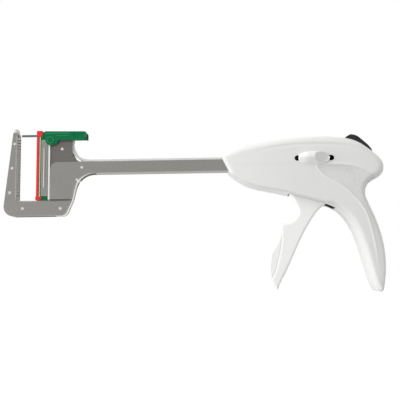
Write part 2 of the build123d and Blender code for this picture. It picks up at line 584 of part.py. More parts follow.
# Green reload body: a magazine in the shell, a foot below and a saddle arm above with its boss
with BuildPart() as reload_body:
    body_height = RELOAD_TOP - RELOAD_BOTTOM
    body_middle = (RELOAD_TOP + RELOAD_BOTTOM) / 2
    with BuildSketch(Plane.YZ.offset(DECK_REAR_X)):
        with Locations((0, body_middle)):
            Rectangle(2 * RELOAD_HALF, body_height)
    extrude(amount=RELOAD_REAR_X - DECK_REAR_X)
    with BuildSketch(Plane.XZ.offset(-RELOAD_HALF)):
        with BuildLine():
            Polyline(
                (RETAINER_FRONT_X + 5.0, RELOAD_BOTTOM),
                (RELOAD_REAR_X, RELOAD_BOTTOM),
                (SHELL_REAR_X - 0.1, RELOAD_BOTTOM - 0.2),
                (SHELL_REAR_X - 0.1, RELOAD_BOTTOM - RELOAD_FOOT * 0.4),
                (RELOAD_REAR_X - 0.6, RELOAD_BOTTOM - RELOAD_FOOT),
                (RETAINER_FRONT_X + 5.0, RELOAD_BOTTOM - RELOAD_FOOT),
                close=True,
            )
        make_face()
    extrude(amount=2 * RELOAD_HALF)
    with BuildSketch(Plane.XZ.offset(-ARM_HALF)):
        with BuildLine():
            Polyline(
                (ARM_FRONT_X, ARM_TOP),
                (ARM_REAR_X, ARM_TOP - 0.6),
                (ARM_REAR_X, ARM_BOTTOM - 0.6),
                (UPPER_PLATE_REAR_X + 0.4, ARM_BOTTOM - 0.6),
                (UPPER_PLATE_REAR_X + 0.4, ARM_BOTTOM),
                (ARM_FRONT_X, ARM_BOTTOM),
                close=True,
            )
        make_face()
        with Locations((BOSS_X, BOSS_Z)):
            Circle(BOSS_R)
        with Locations((BOSS_X + BOSS_R, ARM_BOTTOM - 1.6)):
            Rectangle(BOSS_R * 1.2, 3.4)
        with Locations((BOSS_X + BOSS_R * 1.6 + 1.4, ARM_BOTTOM - 3.2)):
            Circle(3.2, mode=Mode.SUBTRACT)
    extrude(amount=2 * ARM_HALF)
    arm_rear_edges = reload_body.edges().filter_by(Axis.Y).group_by(Axis.X)[-1]
    fillet(arm_rear_edges, 1.2)
    for side in SIDES.values():
        with BuildSketch(Plane.XY.offset(ARM_TOP)):
            with Locations((ARM_REAR_X - ARM_CORNER_R / 2, side * (ARM_HALF - ARM_CORNER_R / 2))):
                Rectangle(ARM_CORNER_R, ARM_CORNER_R)
            with Locations((ARM_REAR_X - ARM_CORNER_R, side * (ARM_HALF - ARM_CORNER_R))):
                Circle(ARM_CORNER_R, mode=Mode.SUBTRACT)
        extrude(amount=ARM_BOTTOM - ARM_TOP - 1.0, mode=Mode.SUBTRACT)
    with BuildSketch(Plane.XZ.offset(-RELOAD_HALF)):
        arm_neck_x = RETAINER_REAR_X + RETAINER_CAP_DEPTH + RUN
        with Locations(((arm_neck_x + ARM_FRONT_X) / 2, (RELOAD_TOP + ARM_TOP) / 2)):
            Rectangle(ARM_FRONT_X - arm_neck_x, ARM_TOP - RELOAD_TOP)
    extrude(amount=2 * RELOAD_HALF)
    with BuildSketch(Plane.YZ.offset(RELOAD_REAR_X)) as saddle_slot:
        with Locations((0, (UPPER_PLATE_TOP + RUN + BOSS_Z - BOSS_R - 1) / 2)):
            Rectangle(2 * (INNER_OUT + RUN), UPPER_PLATE_TOP + RUN - BOSS_Z + BOSS_R + 1)
    extrude(amount=ARM_REAR_X - RELOAD_REAR_X, mode=Mode.SUBTRACT)
    with BuildSketch(Plane.XY.offset(SHELL_TOP + FIT)) as shell_slot:
        slot_half = SHELL_OUT + FIT
        slot_rear = wing_front_x + FIT
        for side in SIDES.values():
            with Locations(((SHELL_FRONT_X + RELOAD_REAR_X - 1) / 2, side * (slot_half + RELOAD_HALF) / 2)):
                Rectangle(RELOAD_REAR_X - SHELL_FRONT_X + 1, slot_half - RELOAD_HALF)
        with Locations(((RELOAD_REAR_X + slot_rear) / 2, 0)):
            Rectangle(slot_rear - RELOAD_REAR_X, 2 * slot_half)
    extrude(amount=-12, mode=Mode.SUBTRACT)
    with BuildSketch(Plane.XY.offset(ARM_TOP - 0.9)) as pusher_slot:
        pusher_slot_front = PUSHER_X - PIN_ADVANCE - 5.0
        with Locations(((pusher_slot_front + ARM_REAR_X) / 2, 0)):
            Rectangle(ARM_REAR_X - pusher_slot_front, 2 * (PUSHER_HALF + RUN))
    extrude(amount=-10, mode=Mode.SUBTRACT)
    with BuildSketch(Plane.YZ.offset(ARM_REAR_X)) as pin_bore:
        with Locations((0, PIN_Z)):
            Circle(PIN_HOLE_R)
    extrude(amount=DECK_FRONT_X - ARM_REAR_X, mode=Mode.SUBTRACT)
    with BuildSketch(Plane.YZ.offset(DECK_REAR_X)) as leg_slots:
        slot_grid(SLOT_LENGTH, SLOT_WIDTH)
    extrude(amount=cavity_front_x - DECK_REAR_X, mode=Mode.SUBTRACT)
    with BuildSketch(Plane.YZ.offset(cavity_front_x)):
        with Locations((0, body_middle)):
            Rectangle(2 * (RELOAD_HALF - RELOAD_SIDE_WALL), body_height - 2 * RELOAD_END_WALL)
    extrude(amount=RELOAD_REAR_X - cavity_front_x, mode=Mode.SUBTRACT)
    for side in SIDES.values():
        recess_near, recess_far = side_span(side, ARM_HALF - 0.5, ARM_HALF)
        with BuildSketch(Plane.XZ.offset(recess_near)):
            recess_front = UPPER_PLATE_REAR_X + 2.0
            recess_rear = ARM_REAR_X - 2.2
            with Locations(((recess_front + recess_rear) / 2, (ARM_TOP + ARM_BOTTOM) / 2 - 0.3)):
                RectangleRounded(recess_rear - recess_front, ARM_TOP - ARM_BOTTOM - 3.4, 0.8)
        extrude(amount=recess_far - recess_near, mode=Mode.SUBTRACT)
        with BuildSketch(Plane.XZ.offset(recess_near)):
            with Locations((BOSS_X, BOSS_Z)):
                Circle(BOSS_R - 0.9)
                Circle(BOSS_R - 1.6, mode=Mode.SUBTRACT)
            for step in range(2):
                with Locations(((ARM_FRONT_X + UPPER_PLATE_REAR_X) / 2 + 1.0, ARM_TOP - 2.0 - 2.2 * step)):
                    Rectangle(UPPER_PLATE_REAR_X - ARM_FRONT_X - 4.0, 0.5)
        extrude(amount=recess_far - recess_near, mode=Mode.SUBTRACT)
finish(reload_body, "reload_body")

# Staples in their slots: a crown along the line and two legs towards the anvil
with BuildPart() as staples:
    crown_x = cavity_front_x - 1.1
    crown_length = SLOT_LENGTH - 2 * FIT
    with BuildSketch(Plane.YZ.offset(crown_x)):
        slot_grid(crown_length, STAPLE_WIRE)
    extrude(amount=-STAPLE_LEG)
    with BuildSketch(Plane.YZ.offset(crown_x - STAPLE_WIRE)):
        slot_grid(crown_length - 2 * STAPLE_WIRE, 2 * STAPLE_WIRE)
    extrude(amount=-STAPLE_LEG, mode=Mode.SUBTRACT)
finish(staples, "staples")

# Driver comb behind the staples: a plate with one finger for each staple
with BuildPart() as staple_driver:
    with BuildSketch(Plane.YZ.offset(driver_front_x)):
        with Locations((0, body_middle)):
            Rectangle(2 * (RELOAD_HALF - RELOAD_SIDE_WALL - RUN), body_height - 2 * (RELOAD_END_WALL + RUN))
    extrude(amount=DRIVER_T)
    with BuildSketch(Plane.YZ.offset(driver_front_x)):
        slot_grid(SLOT_LENGTH - 4 * FIT, SLOT_WIDTH - 2 * FIT)
    extrude(amount=finger_front_x - driver_front_x)
finish(staple_driver, "staple_driver")

# Red staple retainer: a strip over the deck, a cap with the pin's notch and a lower block
with BuildPart() as staple_retainer:
    with BuildSketch(Plane.XZ.offset(-RETAINER_HALF)):
        with BuildLine():
            Polyline(
                (RETAINER_FRONT_X, RETAINER_TOP),
                (RETAINER_REAR_X + RETAINER_CAP_DEPTH, RETAINER_TOP),
                (RETAINER_REAR_X + RETAINER_CAP_DEPTH, ARM_TOP + RUN),
                (RETAINER_REAR_X + RETAINER_CAP_DEPTH, RELOAD_TOP + RUN),
                (RETAINER_REAR_X, RELOAD_TOP + RUN),
                (RETAINER_REAR_X, RELOAD_BOTTOM - RUN),
                (RETAINER_FRONT_X + 5.0 - RUN, RELOAD_BOTTOM - RUN),
                (RETAINER_FRONT_X + 5.0 - RUN, RETAINER_BOTTOM),
                (RETAINER_FRONT_X - 0.6, RETAINER_BOTTOM),
                (RETAINER_FRONT_X - 0.6, RETAINER_BOTTOM + RETAINER_BLOCK),
                (RETAINER_FRONT_X, RETAINER_BOTTOM + RETAINER_BLOCK + 0.6),
                close=True,
            )
        make_face()
    extrude(amount=2 * RETAINER_HALF)
    chamfer(staple_retainer.edges().filter_by(Axis.Y).group_by(Axis.Z)[-1], 0.6)
    with BuildSketch(Plane.YZ.offset(RETAINER_FRONT_X - 2.0)):
        with Locations((RETAINER_HALF, PIN_Z)):
            Rectangle(2 * RETAINER_HALF, 2 * PIN_HOLE_R)
        with Locations((0, PIN_Z)):
            Circle(PIN_HOLE_R)
    extrude(amount=12, mode=Mode.SUBTRACT)
finish(staple_retainer, "staple_retainer")

# Steel retaining pin, held in the pusher's head
with BuildPart() as retaining_pin:
    pin_length = PUSHER_X - PIN_TIP_X
    with BuildSketch(Plane.YZ.offset(PIN_TIP_X)):
        with Locations((0, PIN_Z)):
            Circle(PIN_R)
    extrude(amount=pin_length)
    chamfer(retaining_pin.edges().group_by(Axis.X)[0], PIN_R * 0.55)
finish(retaining_pin, "retaining_pin")

# White pusher: a head on the pin, a gooseneck round the upper plate and a strap along the shaft
with BuildPart() as pin_pusher:
    head_top = ARM_TOP - 0.9 - RUN
    neck_x = PUSHER_X - 3.4
    with BuildSketch(Plane.XZ.offset(-PUSHER_HALF)):
        with BuildLine():
            Line((neck_x, head_top), (PUSHER_X + 0.6, head_top))
            Line((PUSHER_X + 0.6, head_top), (PUSHER_X - 0.3, 24.0))
            Spline(
                (PUSHER_X - 0.3, 24.0),
                (-139.0, 15.0),
                (-136.2, 11.4),
                (-130.0, STRAP_TOP + 0.6),
                (-118.0, STRAP_TOP),
                tangents=((0, -1), (1, 0)),
            )
            Line((-118.0, STRAP_TOP), (KNOB_X + 4.0, STRAP_TOP))
            Line((KNOB_X + 4.0, STRAP_TOP), (KNOB_X + 4.0, STRAP_BOTTOM))
            Line((KNOB_X + 4.0, STRAP_BOTTOM), (-124.0, STRAP_BOTTOM))
            Spline(
                (-124.0, STRAP_BOTTOM),
                (-135.0, 7.6),
                (-141.5, 13.2),
                (neck_x, 23.0),
                tangents=((-1, 0), (0, 1)),
            )
            Line((neck_x, 23.0), (neck_x, head_top))
        make_face()
    extrude(amount=2 * PUSHER_HALF)
    with BuildSketch(Plane.YZ.offset(PIN_TIP_X)):
        with Locations((0, PIN_Z)):
            Circle(PIN_R + 0.01)
    extrude(amount=pin_length, mode=Mode.SUBTRACT)
finish(pin_pusher, "pin_pusher")

# Crossbar of the pusher, which carries a knob on each side of the housing
with BuildPart() as knob_crossbar:
    crossbar_reach = HOUSING_HALF - HOUSING_WALL - 1.4
    crossbar_low = STRAP_BOTTOM + STRAP_T / 2
    with BuildSketch(Plane.XY.offset(crossbar_low)):
        with Locations((KNOB_X, 0)):
            Rectangle(KNOB_NECK - 2.0, 2 * crossbar_reach)
    extrude(amount=STRAP_T / 2 + 0.8)
    fillet(knob_crossbar.edges().filter_by(Axis.X).group_by(Axis.Z)[-1], 0.6)
    for side in SIDES.values():
        near, far = side_span(side, crossbar_reach - CROSSBAR_T, crossbar_reach)
        with BuildSketch(Plane.XZ.offset(near)):
            with Locations((KNOB_X, (KNOB_SLOT_Z - KNOB_SLOT_HEIGHT / 2 + crossbar_low + 1.0) / 2)):
                Rectangle(KNOB_NECK, crossbar_low + 1.0 - KNOB_SLOT_Z + KNOB_SLOT_HEIGHT / 2)
        extrude(amount=far - near)
    with BuildSketch(Plane.XY.offset(STRAP_BOTTOM)):
        with Locations((KNOB_X, 0)):
            Rectangle(KNOB_NECK, 2 * PUSHER_HALF + 0.02)
    extrude(amount=STRAP_T, mode=Mode.SUBTRACT)
finish(knob_crossbar, "knob_crossbar")

for side_name, side in SIDES.items():
    # Slider knob: an oval dome with a thumb scoop at the rear, on a neck through the slot
    with BuildPart() as slider_knob:
        near, far = side_span(side, HOUSING_HALF + RUN, HOUSING_HALF + RUN + KNOB_PROUD)
        with BuildSketch(Plane.XZ.offset(near)):
            with Locations((KNOB_X, KNOB_SLOT_Z)):
                Ellipse(KNOB_LENGTH / 2, KNOB_HEIGHT / 2)
        extrude(amount=far - near)
        dome_face = slider_knob.faces().sort_by(Axis.Y)[0 if side > 0 else -1]
        fillet(dome_face.edges(), KNOB_PROUD * 0.4)
        scoop_r = KNOB_LENGTH * 0.52
        scoop_y = -side * (HOUSING_HALF + RUN + KNOB_PROUD + scoop_r * 0.87)
        scoop_x = KNOB_X + KNOB_LENGTH * 0.3
        scoop_plane = Plane(origin=(scoop_x, scoop_y, KNOB_SLOT_Z - KNOB_HEIGHT), z_dir=(0, 0, 1))
        with BuildSketch(scoop_plane):
            Circle(scoop_r)
        extrude(amount=2 * KNOB_HEIGHT, mode=Mode.SUBTRACT)
        near, far = side_span(side, crossbar_reach, HOUSING_HALF + RUN)
        with BuildSketch(Plane.XZ.offset(near)):
            with Locations((KNOB_X, KNOB_SLOT_Z)):
                SlotOverall(KNOB_NECK, KNOB_SLOT_HEIGHT - 2 * RUN)
        extrude(amount=far - near)
    finish(slider_knob, f"slider_knob_{side_name}")

# Trigger: lever with a finger notch, hub on the pivot and a fork over the closing pin
with BuildPart() as trigger:
    with BuildSketch(Plane.XZ.offset(-TRIGGER_HALF)):
        with BuildLine():
            front_top = (64.9, -29.0)
            notch_deep = (71.9, -45.8)
            notch_lip = (54.4, -56.2)
            lip_under = (52.4, -60.0)
            belly = (40.9, -95.5)
            tip = (48.6, -118.6)
            rear_low = (58.6, -98.6)
            rear_middle = (73.0, -68.2)
            rear_top = (93.0, -39.6)
            Spline(
                front_top,
                (69.2, -36.8),
                notch_deep,
                (68.4, -51.6),
                notch_lip,
                tangents=((0.75, -1), (-1, -0.05)),
            )
            Line(notch_lip, lip_under)
            Spline(
                lip_under,
                (51.0, -70.0),
                (43.6, -82.6),
                belly,
                (42.9, -110.0),
                tip,
                tangents=((0, -1), (0.62, -1)),
            )
            Spline(tip, rear_low, rear_middle, (81.2, -54.4), rear_top, tangents=((0.4, 1), (1, 0.5)))
            Polyline(
                rear_top,
                (88.0, -31.0),
                (TRIGGER_PIVOT_X + HUB_R * 0.9, TRIGGER_PIVOT_Z + 6.0),
                (TRIGGER_PIVOT_X - 5.0, TRIGGER_PIVOT_Z + 5.0),
                front_top,
            )
        make_face()
    extrude(amount=2 * TRIGGER_HALF)
    side_faces = trigger.faces().filter_by(Axis.Y)
    rims = side_faces.edges().filter_by(lambda edge: edge.center().Z < TRIGGER_PIVOT_Z - 4)
    fillet(rims, TRIGGER_EDGE_R)
    fork_plane = Plane.XZ.offset(-(CLOSING_HALF + RUN + FORK_T))
    fork_reach = TRIGGER_LEVER / cos(radians(ARM_TILT)) + CLOSING_PIN_R + 1.0
    fork_bottom = TRIGGER_LEVER - CLOSING_PIN_R - 2 * RUN
    with BuildSketch(fork_plane):
        with Locations(Location((TRIGGER_PIVOT_X, TRIGGER_PIVOT_Z, 0), (0, 0, -ARM_TILT))):
            with Locations((0, fork_reach / 2)):
                Rectangle(FORK_WIDTH, fork_reach)
            with Locations((0, (fork_bottom + fork_reach) / 2 + 1.0)):
                Rectangle(2 * (CLOSING_PIN_R + RUN), fork_reach - fork_bottom + 2.0, mode=Mode.SUBTRACT)
    extrude(amount=2 * (CLOSING_HALF + RUN + FORK_T))
    with BuildSketch(Plane.XZ.offset(-(CLOSING_HALF + RUN))):
        with Locations((TRIGGER_PIVOT_X, CLOSING_PIN_Z)):
            Rectangle(60.0, 2 * (CLOSING_PIN_Z - CLOSING_LOW + 5.0))
    extrude(amount=2 * (CLOSING_HALF + RUN), mode=Mode.SUBTRACT)
    with BuildSketch(Plane.XZ.offset(-TRIGGER_HALF)):
        with Locations((TRIGGER_PIVOT_X, TRIGGER_PIVOT_Z)):
            Circle(TRIGGER_PIN_R + SNUG)
    extrude(amount=2 * TRIGGER_HALF, mode=Mode.SUBTRACT)
finish(trigger, "trigger")

# Side outline of the housing at the parting plane
NOSE_TOP = (-1.7, 9.3)
NOSE_BOTTOM = (7.0, -8.3)
REAR_TOP = (147.8, 6.0)
GRIP_NECK = (134.8, -34.8)
GRIP_TOE = (146.2, -117.3)
GRIP_FRONT_LOW = (139.4, -118.8)
THROAT = (98.0, -39.0)
with BuildSketch() as housing_outline:
    with BuildLine():
        top_line = Spline(
            NOSE_TOP,
            (9.6, 14.6),
            (27.0, 18.9),
            (55.4, 23.2),
            (88.0, 25.6),
            (113.0, 24.5),
            (128.0, 20.4),
            (138.6, 12.4),
            REAR_TOP,
            tangents=((1, 0.6), (0.7, -0.71)),
        )
        rear_line = Spline(
            REAR_TOP,
            (152.2, -1.6),
            (149.6, -11.4),
            (139.7, -17.8),
            (134.3, -25.2),
            GRIP_NECK,
            tangents=((0.7, -0.71), (0.36, -0.93)),
        )
        back_line = Spline(
            GRIP_NECK,
            (141.7, -52.1),
            (147.4, -72.0),
            (149.0, -92.0),
            GRIP_TOE,
            tangents=((0.36, -0.93), (-0.2, -1)),
        )
        toe_line = Spline(GRIP_TOE, (143.4, -120.6), GRIP_FRONT_LOW, tangents=((-0.2, -1), (-0.55, 0.83)))
        front_line = Spline(
            GRIP_FRONT_LOW,
            (135.3, -108.4),
            (131.5, -91.3),
            (126.6, -74.1),
            (118.8, -56.0),
            (107.8, -43.9),
            THROAT,
            tangents=((-0.55, 0.83), (-0.94, 0.34)),
        )
        under_line = Spline(
            THROAT,
            (75.0, -31.9),
            (50.0, -25.5),
            (32.7, -21.9),
            (19.0, -16.6),
            NOSE_BOTTOM,
            tangents=((-0.94, 0.34), (-0.8, 0.6)),
        )
        nose_line = Line(NOSE_BOTTOM, NOSE_TOP)
    make_face()


def one_wall_in(line, position):
    """Point one wall to the right of a line, and the way that wall faces."""
    heading = line % position
    inward = Vector(heading.Y, -heading.X)
    return line @ position + HOUSING_WALL * inward, inward


# The same outline one wall further in, whose nose is cut off square to the shell's nose line
inset_points = []
for skin_line in (top_line, rear_line, back_line, toe_line, front_line, under_line):
    for step in range(INSET_STEPS):
        inset_points.append(one_wall_in(skin_line, step / INSET_STEPS)[0])
inset_points.append(one_wall_in(under_line, 1)[0])
nose_origin, nose_inward = one_wall_in(nose_line, 0)
nose_plane = Plane(origin=nose_origin, z_dir=nose_inward)
with BuildSketch() as cavity_outline:
    with BuildLine():
        inset_line = Spline(*inset_points)
        Line(inset_line @ 1, inset_line @ 0)
    make_face()
    split(bisect_by=nose_plane, keep=Keep.TOP)

# Half of the plan outline: a narrow nose, a flat flank for the knob and a rounded rear
with BuildSketch() as plan_outline:
    with BuildLine():
        nose_x = NOSE_TOP[0] - 2.0
        rear_x = REAR_TOP[0] + 9.8
        flank_front_x = KNOB_SLOT_X - KNOB_SLOT_LENGTH / 2 - 2.0
        flank_rear_x = KNOB_X + PIN_RETRACT + KNOB_LENGTH / 2 + 1.0
        Spline((nose_x, -HOUSING_NOSE_HALF), (flank_front_x, -HOUSING_HALF), tangents=((1, -0.14), (1, 0)))
        Line((flank_front_x, -HOUSING_HALF), (flank_rear_x, -HOUSING_HALF))
        Spline((flank_rear_x, -HOUSING_HALF), (rear_x, 2.2 - HOUSING_HALF), tangents=((1, 0), (1, 0.12)))
        Line((rear_x, 2.2 - HOUSING_HALF), (rear_x, 0))
        Line((rear_x, 0), (nose_x, 0))
        Line((nose_x, 0), (nose_x, -HOUSING_NOSE_HALF))
    make_face()


def housing_core(side_outline, inset):
    """Left half of a housing form from its side outline and the distance of its flank from the skin."""
    with BuildPart() as core:
        with BuildSketch(Plane.XZ):
            add(side_outline)
        extrude(amount=HOUSING_HALF + 1)
        with BuildSketch(Plane.XY.offset(-140)):
            with Locations((0, inset)):
                add(plan_outline.sketch)
        extrude(amount=200, mode=Mode.INTERSECT)
        if not inset:
            outer_edges = core.edges().filter_by(lambda edge: max((edge @ 0).Y, (edge @ 1).Y) < -5)
            fillet(outer_edges.filter_by(lambda edge: edge.center().X > 6), HOUSING_EDGE_R)
    return core.part


outer_core = housing_core(housing_outline.sketch, 0)
inner_core = housing_core(cavity_outline.sketch, HOUSING_WALL)

# Screws that close the housing from the right, with a boss round each
screw_points = [(22.0, 12.6), (26.0, -14.0), (104.0, 18.0), (121.0, -37.0), (142.0, -98.0), (146.0, -3.5)]
screw_boss_r = SCREW_HEAD_R + FIT + BOSS_WALL
screw_depth = SCREW_SEAT + 0.5
post_x = 112.0
post_z = -13.0
post_r = 1.8
shelf_low = 1.3
shelf_high = 2.8
shelf_front_x = 126.0
shelf_rear_x = 139.0
rib_t = 2.0
rib_stations = [12.0, 27.0]
pin_seat_y = TRIGGER_HALF + RUN
button_seat_y = BUTTON_HALF + RUN
button_pin_reach = button_seat_y + 4.0
button_way_front = BUTTON_PIVOT_X + 0.6
button_way_rear = REAR_TOP[0] - 3.3
pin_reach = HOUSING_HALF - HOUSING_WALL - 0.6


def disc(points, radius, near, far):
    """Cylinders across the housing between two distances from the mid plane."""
    with BuildPart() as discs:
        with BuildSketch(Plane.XZ.offset(near)):
            with Locations(*points):
                Circle(radius)
        extrude(amount=far - near)
    return discs.part


pivot_point = [(TRIGGER_PIVOT_X, TRIGGER_PIVOT_Z)]
button_point = [(BUTTON_PIVOT_X, BUTTON_PIVOT_Z)]
trigger_slot_front = TRIGGER_PIVOT_X - 13.7
trigger_slot_rear = THROAT[0] + 7.5

# Everything that stands on the inside of a half: bosses, posts, ribs round the shaft and a spring shelf
with BuildPart() as fittings:
    add(disc(screw_points, screw_boss_r, 0, HOUSING_HALF))
    add(disc([(post_x, post_z)], post_r, 0, HOUSING_HALF))
    add(disc(pivot_point, TRIGGER_PIN_R + PIN_BOSS_WALL, pin_seat_y, HOUSING_HALF))
    add(disc(button_point, BUTTON_PIN_R + PIN_BOSS_WALL, button_seat_y, HOUSING_HALF))
    for station in rib_stations:
        with BuildSketch(Plane.YZ.offset(station)):
            with Locations((-HOUSING_HALF / 2, 0)):
                Rectangle(HOUSING_HALF, 4 * HOUSING_HALF)
        extrude(amount=rib_t)
    with BuildSketch(Plane.XY.offset(shelf_low)):
        with Locations(((shelf_front_x + shelf_rear_x) / 2, -HOUSING_HALF / 2)):
            Rectangle(shelf_rear_x - shelf_front_x, HOUSING_HALF)
    extrude(amount=shelf_high - shelf_low)
    with BuildSketch(Plane.YZ.offset(rib_stations[0] - 1)) as shaft_way:
        Rectangle(2 * OUTER_OUT, 2 * SHAFT_HALF_H)
        with Locations((0, (STRAP_TOP + RUN) / 2)):
            Rectangle(2 * (PUSHER_HALF + RUN), STRAP_TOP + RUN)
    extrude(amount=SHAFT_REAR_X, mode=Mode.SUBTRACT)
    add(disc(pivot_point, TRIGGER_PIN_R + 0.01, 0, pin_reach), mode=Mode.SUBTRACT)
    add(disc(button_point, BUTTON_PIN_R + 0.01, 0, button_pin_reach), mode=Mode.SUBTRACT)
    add(disc(screw_points, SCREW_R, 0, screw_depth + 0.5), mode=Mode.SUBTRACT)

with BuildPart() as cavity:
    add(inner_core)
    add(fittings.part, mode=Mode.SUBTRACT)

# Half shell with the ways for the shaft, the trigger, the knob and the button
with BuildPart() as half:
    add(outer_core)
    add(cavity.part, mode=Mode.SUBTRACT)
    with BuildSketch(Plane.YZ.offset(NOSE_TOP[0] - 3)):
        Rectangle(2 * OUTER_OUT, 2 * SHAFT_HALF_H)
        with Locations((0, (STRAP_TOP + RUN) / 2)):
            Rectangle(2 * (PUSHER_HALF + RUN), STRAP_TOP + RUN)
    extrude(amount=rib_stations[0] - 1.5 - NOSE_TOP[0] + 3, mode=Mode.SUBTRACT)
    with BuildSketch(Plane.XY.offset(TRIGGER_PIVOT_Z + HUB_R)):
        with Locations(((trigger_slot_front + trigger_slot_rear) / 2, 0)):
            Rectangle(trigger_slot_rear - trigger_slot_front, 2 * (TRIGGER_HALF + RUN))
    extrude(amount=-40, mode=Mode.SUBTRACT)
    with BuildSketch(Plane.XZ.offset(HOUSING_HALF - 2 * HOUSING_WALL)):
        with Locations((KNOB_SLOT_X, KNOB_SLOT_Z)):
            SlotOverall(KNOB_SLOT_LENGTH, KNOB_SLOT_HEIGHT)
    extrude(amount=3 * HOUSING_WALL, mode=Mode.SUBTRACT)
    with BuildSketch(Plane.XY.offset(shelf_high + 4.0)):
        with Locations(((button_way_front + button_way_rear) / 2, 0)):
            Rectangle(button_way_rear - button_way_front, 2 * (BUTTON_HALF + RUN))
    extrude(amount=40, mode=Mode.SUBTRACT)

with BuildPart() as housing_left:
    add(half.part)
finish(housing_left, "housing_left")

# The right half takes the screw heads in wells
with BuildPart() as housing_right:
    add(half.part)
    mirror(about=Plane.XZ, mode=Mode.REPLACE)
    add(disc(screw_points, SCREW_HEAD_R + FIT, -HOUSING_HALF - 1, -SCREW_SEAT), mode=Mode.SUBTRACT)
finish(housing_right, "housing_right")

# Pin on which the trigger turns, seated in a boss of each housing half
with BuildPart() as trigger_pin:
    add(disc(pivot_point, TRIGGER_PIN_R, -pin_reach, pin_reach))
finish(trigger_pin, "trigger_pin")

# Cross-head screws
with BuildPart() as housing_screws:
    add(disc(screw_points, SCREW_R - 0.01, -SCREW_SEAT, screw_depth))
    add(disc(screw_points, SCREW_HEAD_R, -SCREW_SEAT - SCREW_HEAD_H, -SCREW_SEAT))
    with BuildSketch(Plane.XZ.offset(-SCREW_SEAT - SCREW_HEAD_H)):
        with Locations(*screw_points):
            Rectangle(SCREW_HEAD_R, CROSS_SLOT)
            Rectangle(CROSS_SLOT, SCREW_HEAD_R)
    extrude(amount=SCREW_HEAD_H / 2, mode=Mode.SUBTRACT)
finish(housing_screws, "housing_screws")

# Black release button on its rocker
with BuildPart() as release_button:
    crest = (122.8, 28.1)
    heel = (142.8, 12.6)
    with BuildSketch(Plane.XZ.offset(-BUTTON_HALF)) as button_outline:
        with BuildLine():
            Polyline(
                (113.6, 13.0),
                (114.4, 17.6),
                (117.4, 18.8),
                (117.5, 24.4),
                (119.2, 26.2),
                crest,
            )
            Spline(crest, (128.4, 26.8), (134.2, 22.2), heel, tangents=((1, -0.1), (0.6, -1)))
            Polyline(heel, (141.5, 10.6), (118.0, 11.6), (113.6, 13.0))
        make_face()
    extrude(amount=2 * BUTTON_HALF)
    ridge = release_button.edges().filter_by(Axis.Y).sort_by_distance((crest[0], 0, crest[1]))[0]
    fillet(ridge, 1.4)
    upper_edges = release_button.edges().filter_by(lambda edge: edge.center().Z > 19.5)
    chamfer(upper_edges.filter_by(lambda edge: abs(edge.center().Y) > 4), 0.5)
    with BuildSketch(Plane.XY.offset(8)) as pawl_slot:
        with Locations((115.5, 0)):
            Rectangle(10.0, PAWL_T + 2 * SIDE)
    extrude(amount=11.4, mode=Mode.SUBTRACT)
    add(disc(button_point, BUTTON_PIN_R + SNUG, -BUTTON_HALF, BUTTON_HALF), mode=Mode.SUBTRACT)
finish(release_button, "release_button")

# Steel pawl in the rocker's slot, whose tip rides on the closing bar's tail
with BuildPart() as release_pawl:
    with BuildSketch(Plane.XZ.offset(-PAWL_T / 2)):
        with BuildLine():
            Polyline(
                (114.2, 17.4),
                (119.6, 17.8),
                (120.2, 14.6),
                (115.6, 12.2),
                (111.2, 5.0),
                (109.6, CLOSING_HIGH + RUN),
                (106.9, CLOSING_HIGH + RUN),
                (108.4, 6.6),
                (112.4, 14.6),
                close=True,
            )
        make_face()
        with Locations((BUTTON_PIVOT_X, BUTTON_PIVOT_Z)):
            Circle(BUTTON_PIN_R + SNUG, mode=Mode.SUBTRACT)
    extrude(amount=PAWL_T)
finish(release_pawl, "release_pawl")

# Pin of the rocker
with BuildPart() as button_pin:
    add(disc(button_point, BUTTON_PIN_R, -button_pin_reach, button_pin_reach))
finish(button_pin, "button_pin")


def coil(origin, direction, radius, wire_r, turns, length):
    """Helical spring from an origin along a direction."""
    with BuildPart() as spring:
        with BuildLine() as path:
            Helix(length / turns, length, radius, center=origin, direction=direction)
        wire_plane = Plane(origin=path.line @ 0, z_dir=path.line % 0)
        with BuildSketch(wire_plane):
            RegularPolygon(wire_r, 6)
        sweep(path=path.line, is_frenet=True)
    return spring.part


# Spring that returns the trigger, from its arm to a post in the housing
with BuildPart() as trigger_spring:
    spring_front_x = TRIGGER_PIVOT_X + 11.3
    add(coil((spring_front_x, 0, post_z), (1, 0, 0), 2.6, 0.45, 11, post_x - post_r - 0.3 - spring_front_x))
finish(trigger_spring, "trigger_spring")

# Spring under the release button
with BuildPart() as button_spring:
    add(coil((131.5, 0, shelf_high + 0.55), (0, 0, 1), 2.4, 0.4, 5, 11.0 - shelf_high - 1.4))
finish(button_spring, "button_spring")
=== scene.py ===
# %% [markdown]
# # A linear surgical stapler, dressed over its CAD frame
# The CAD part fixes the size and place of every piece and how it moves. This lesson gives those pieces the
# finish of the real instrument, and moulds the parts whose form is too soft for plain solids: the
# pistol-grip housing, the trigger and the two thumb knobs. Lengths are written in millimetres and become
# metres through MM, in the CAD part's own frame: the shaft runs along X, the jaw is at -X, the grip at +X,
# and the camera looks along +Y.

import math

import bpy
import numpy as np
from mathutils import Matrix, Vector
from mathutils.geometry import delaunay_2d_cdt


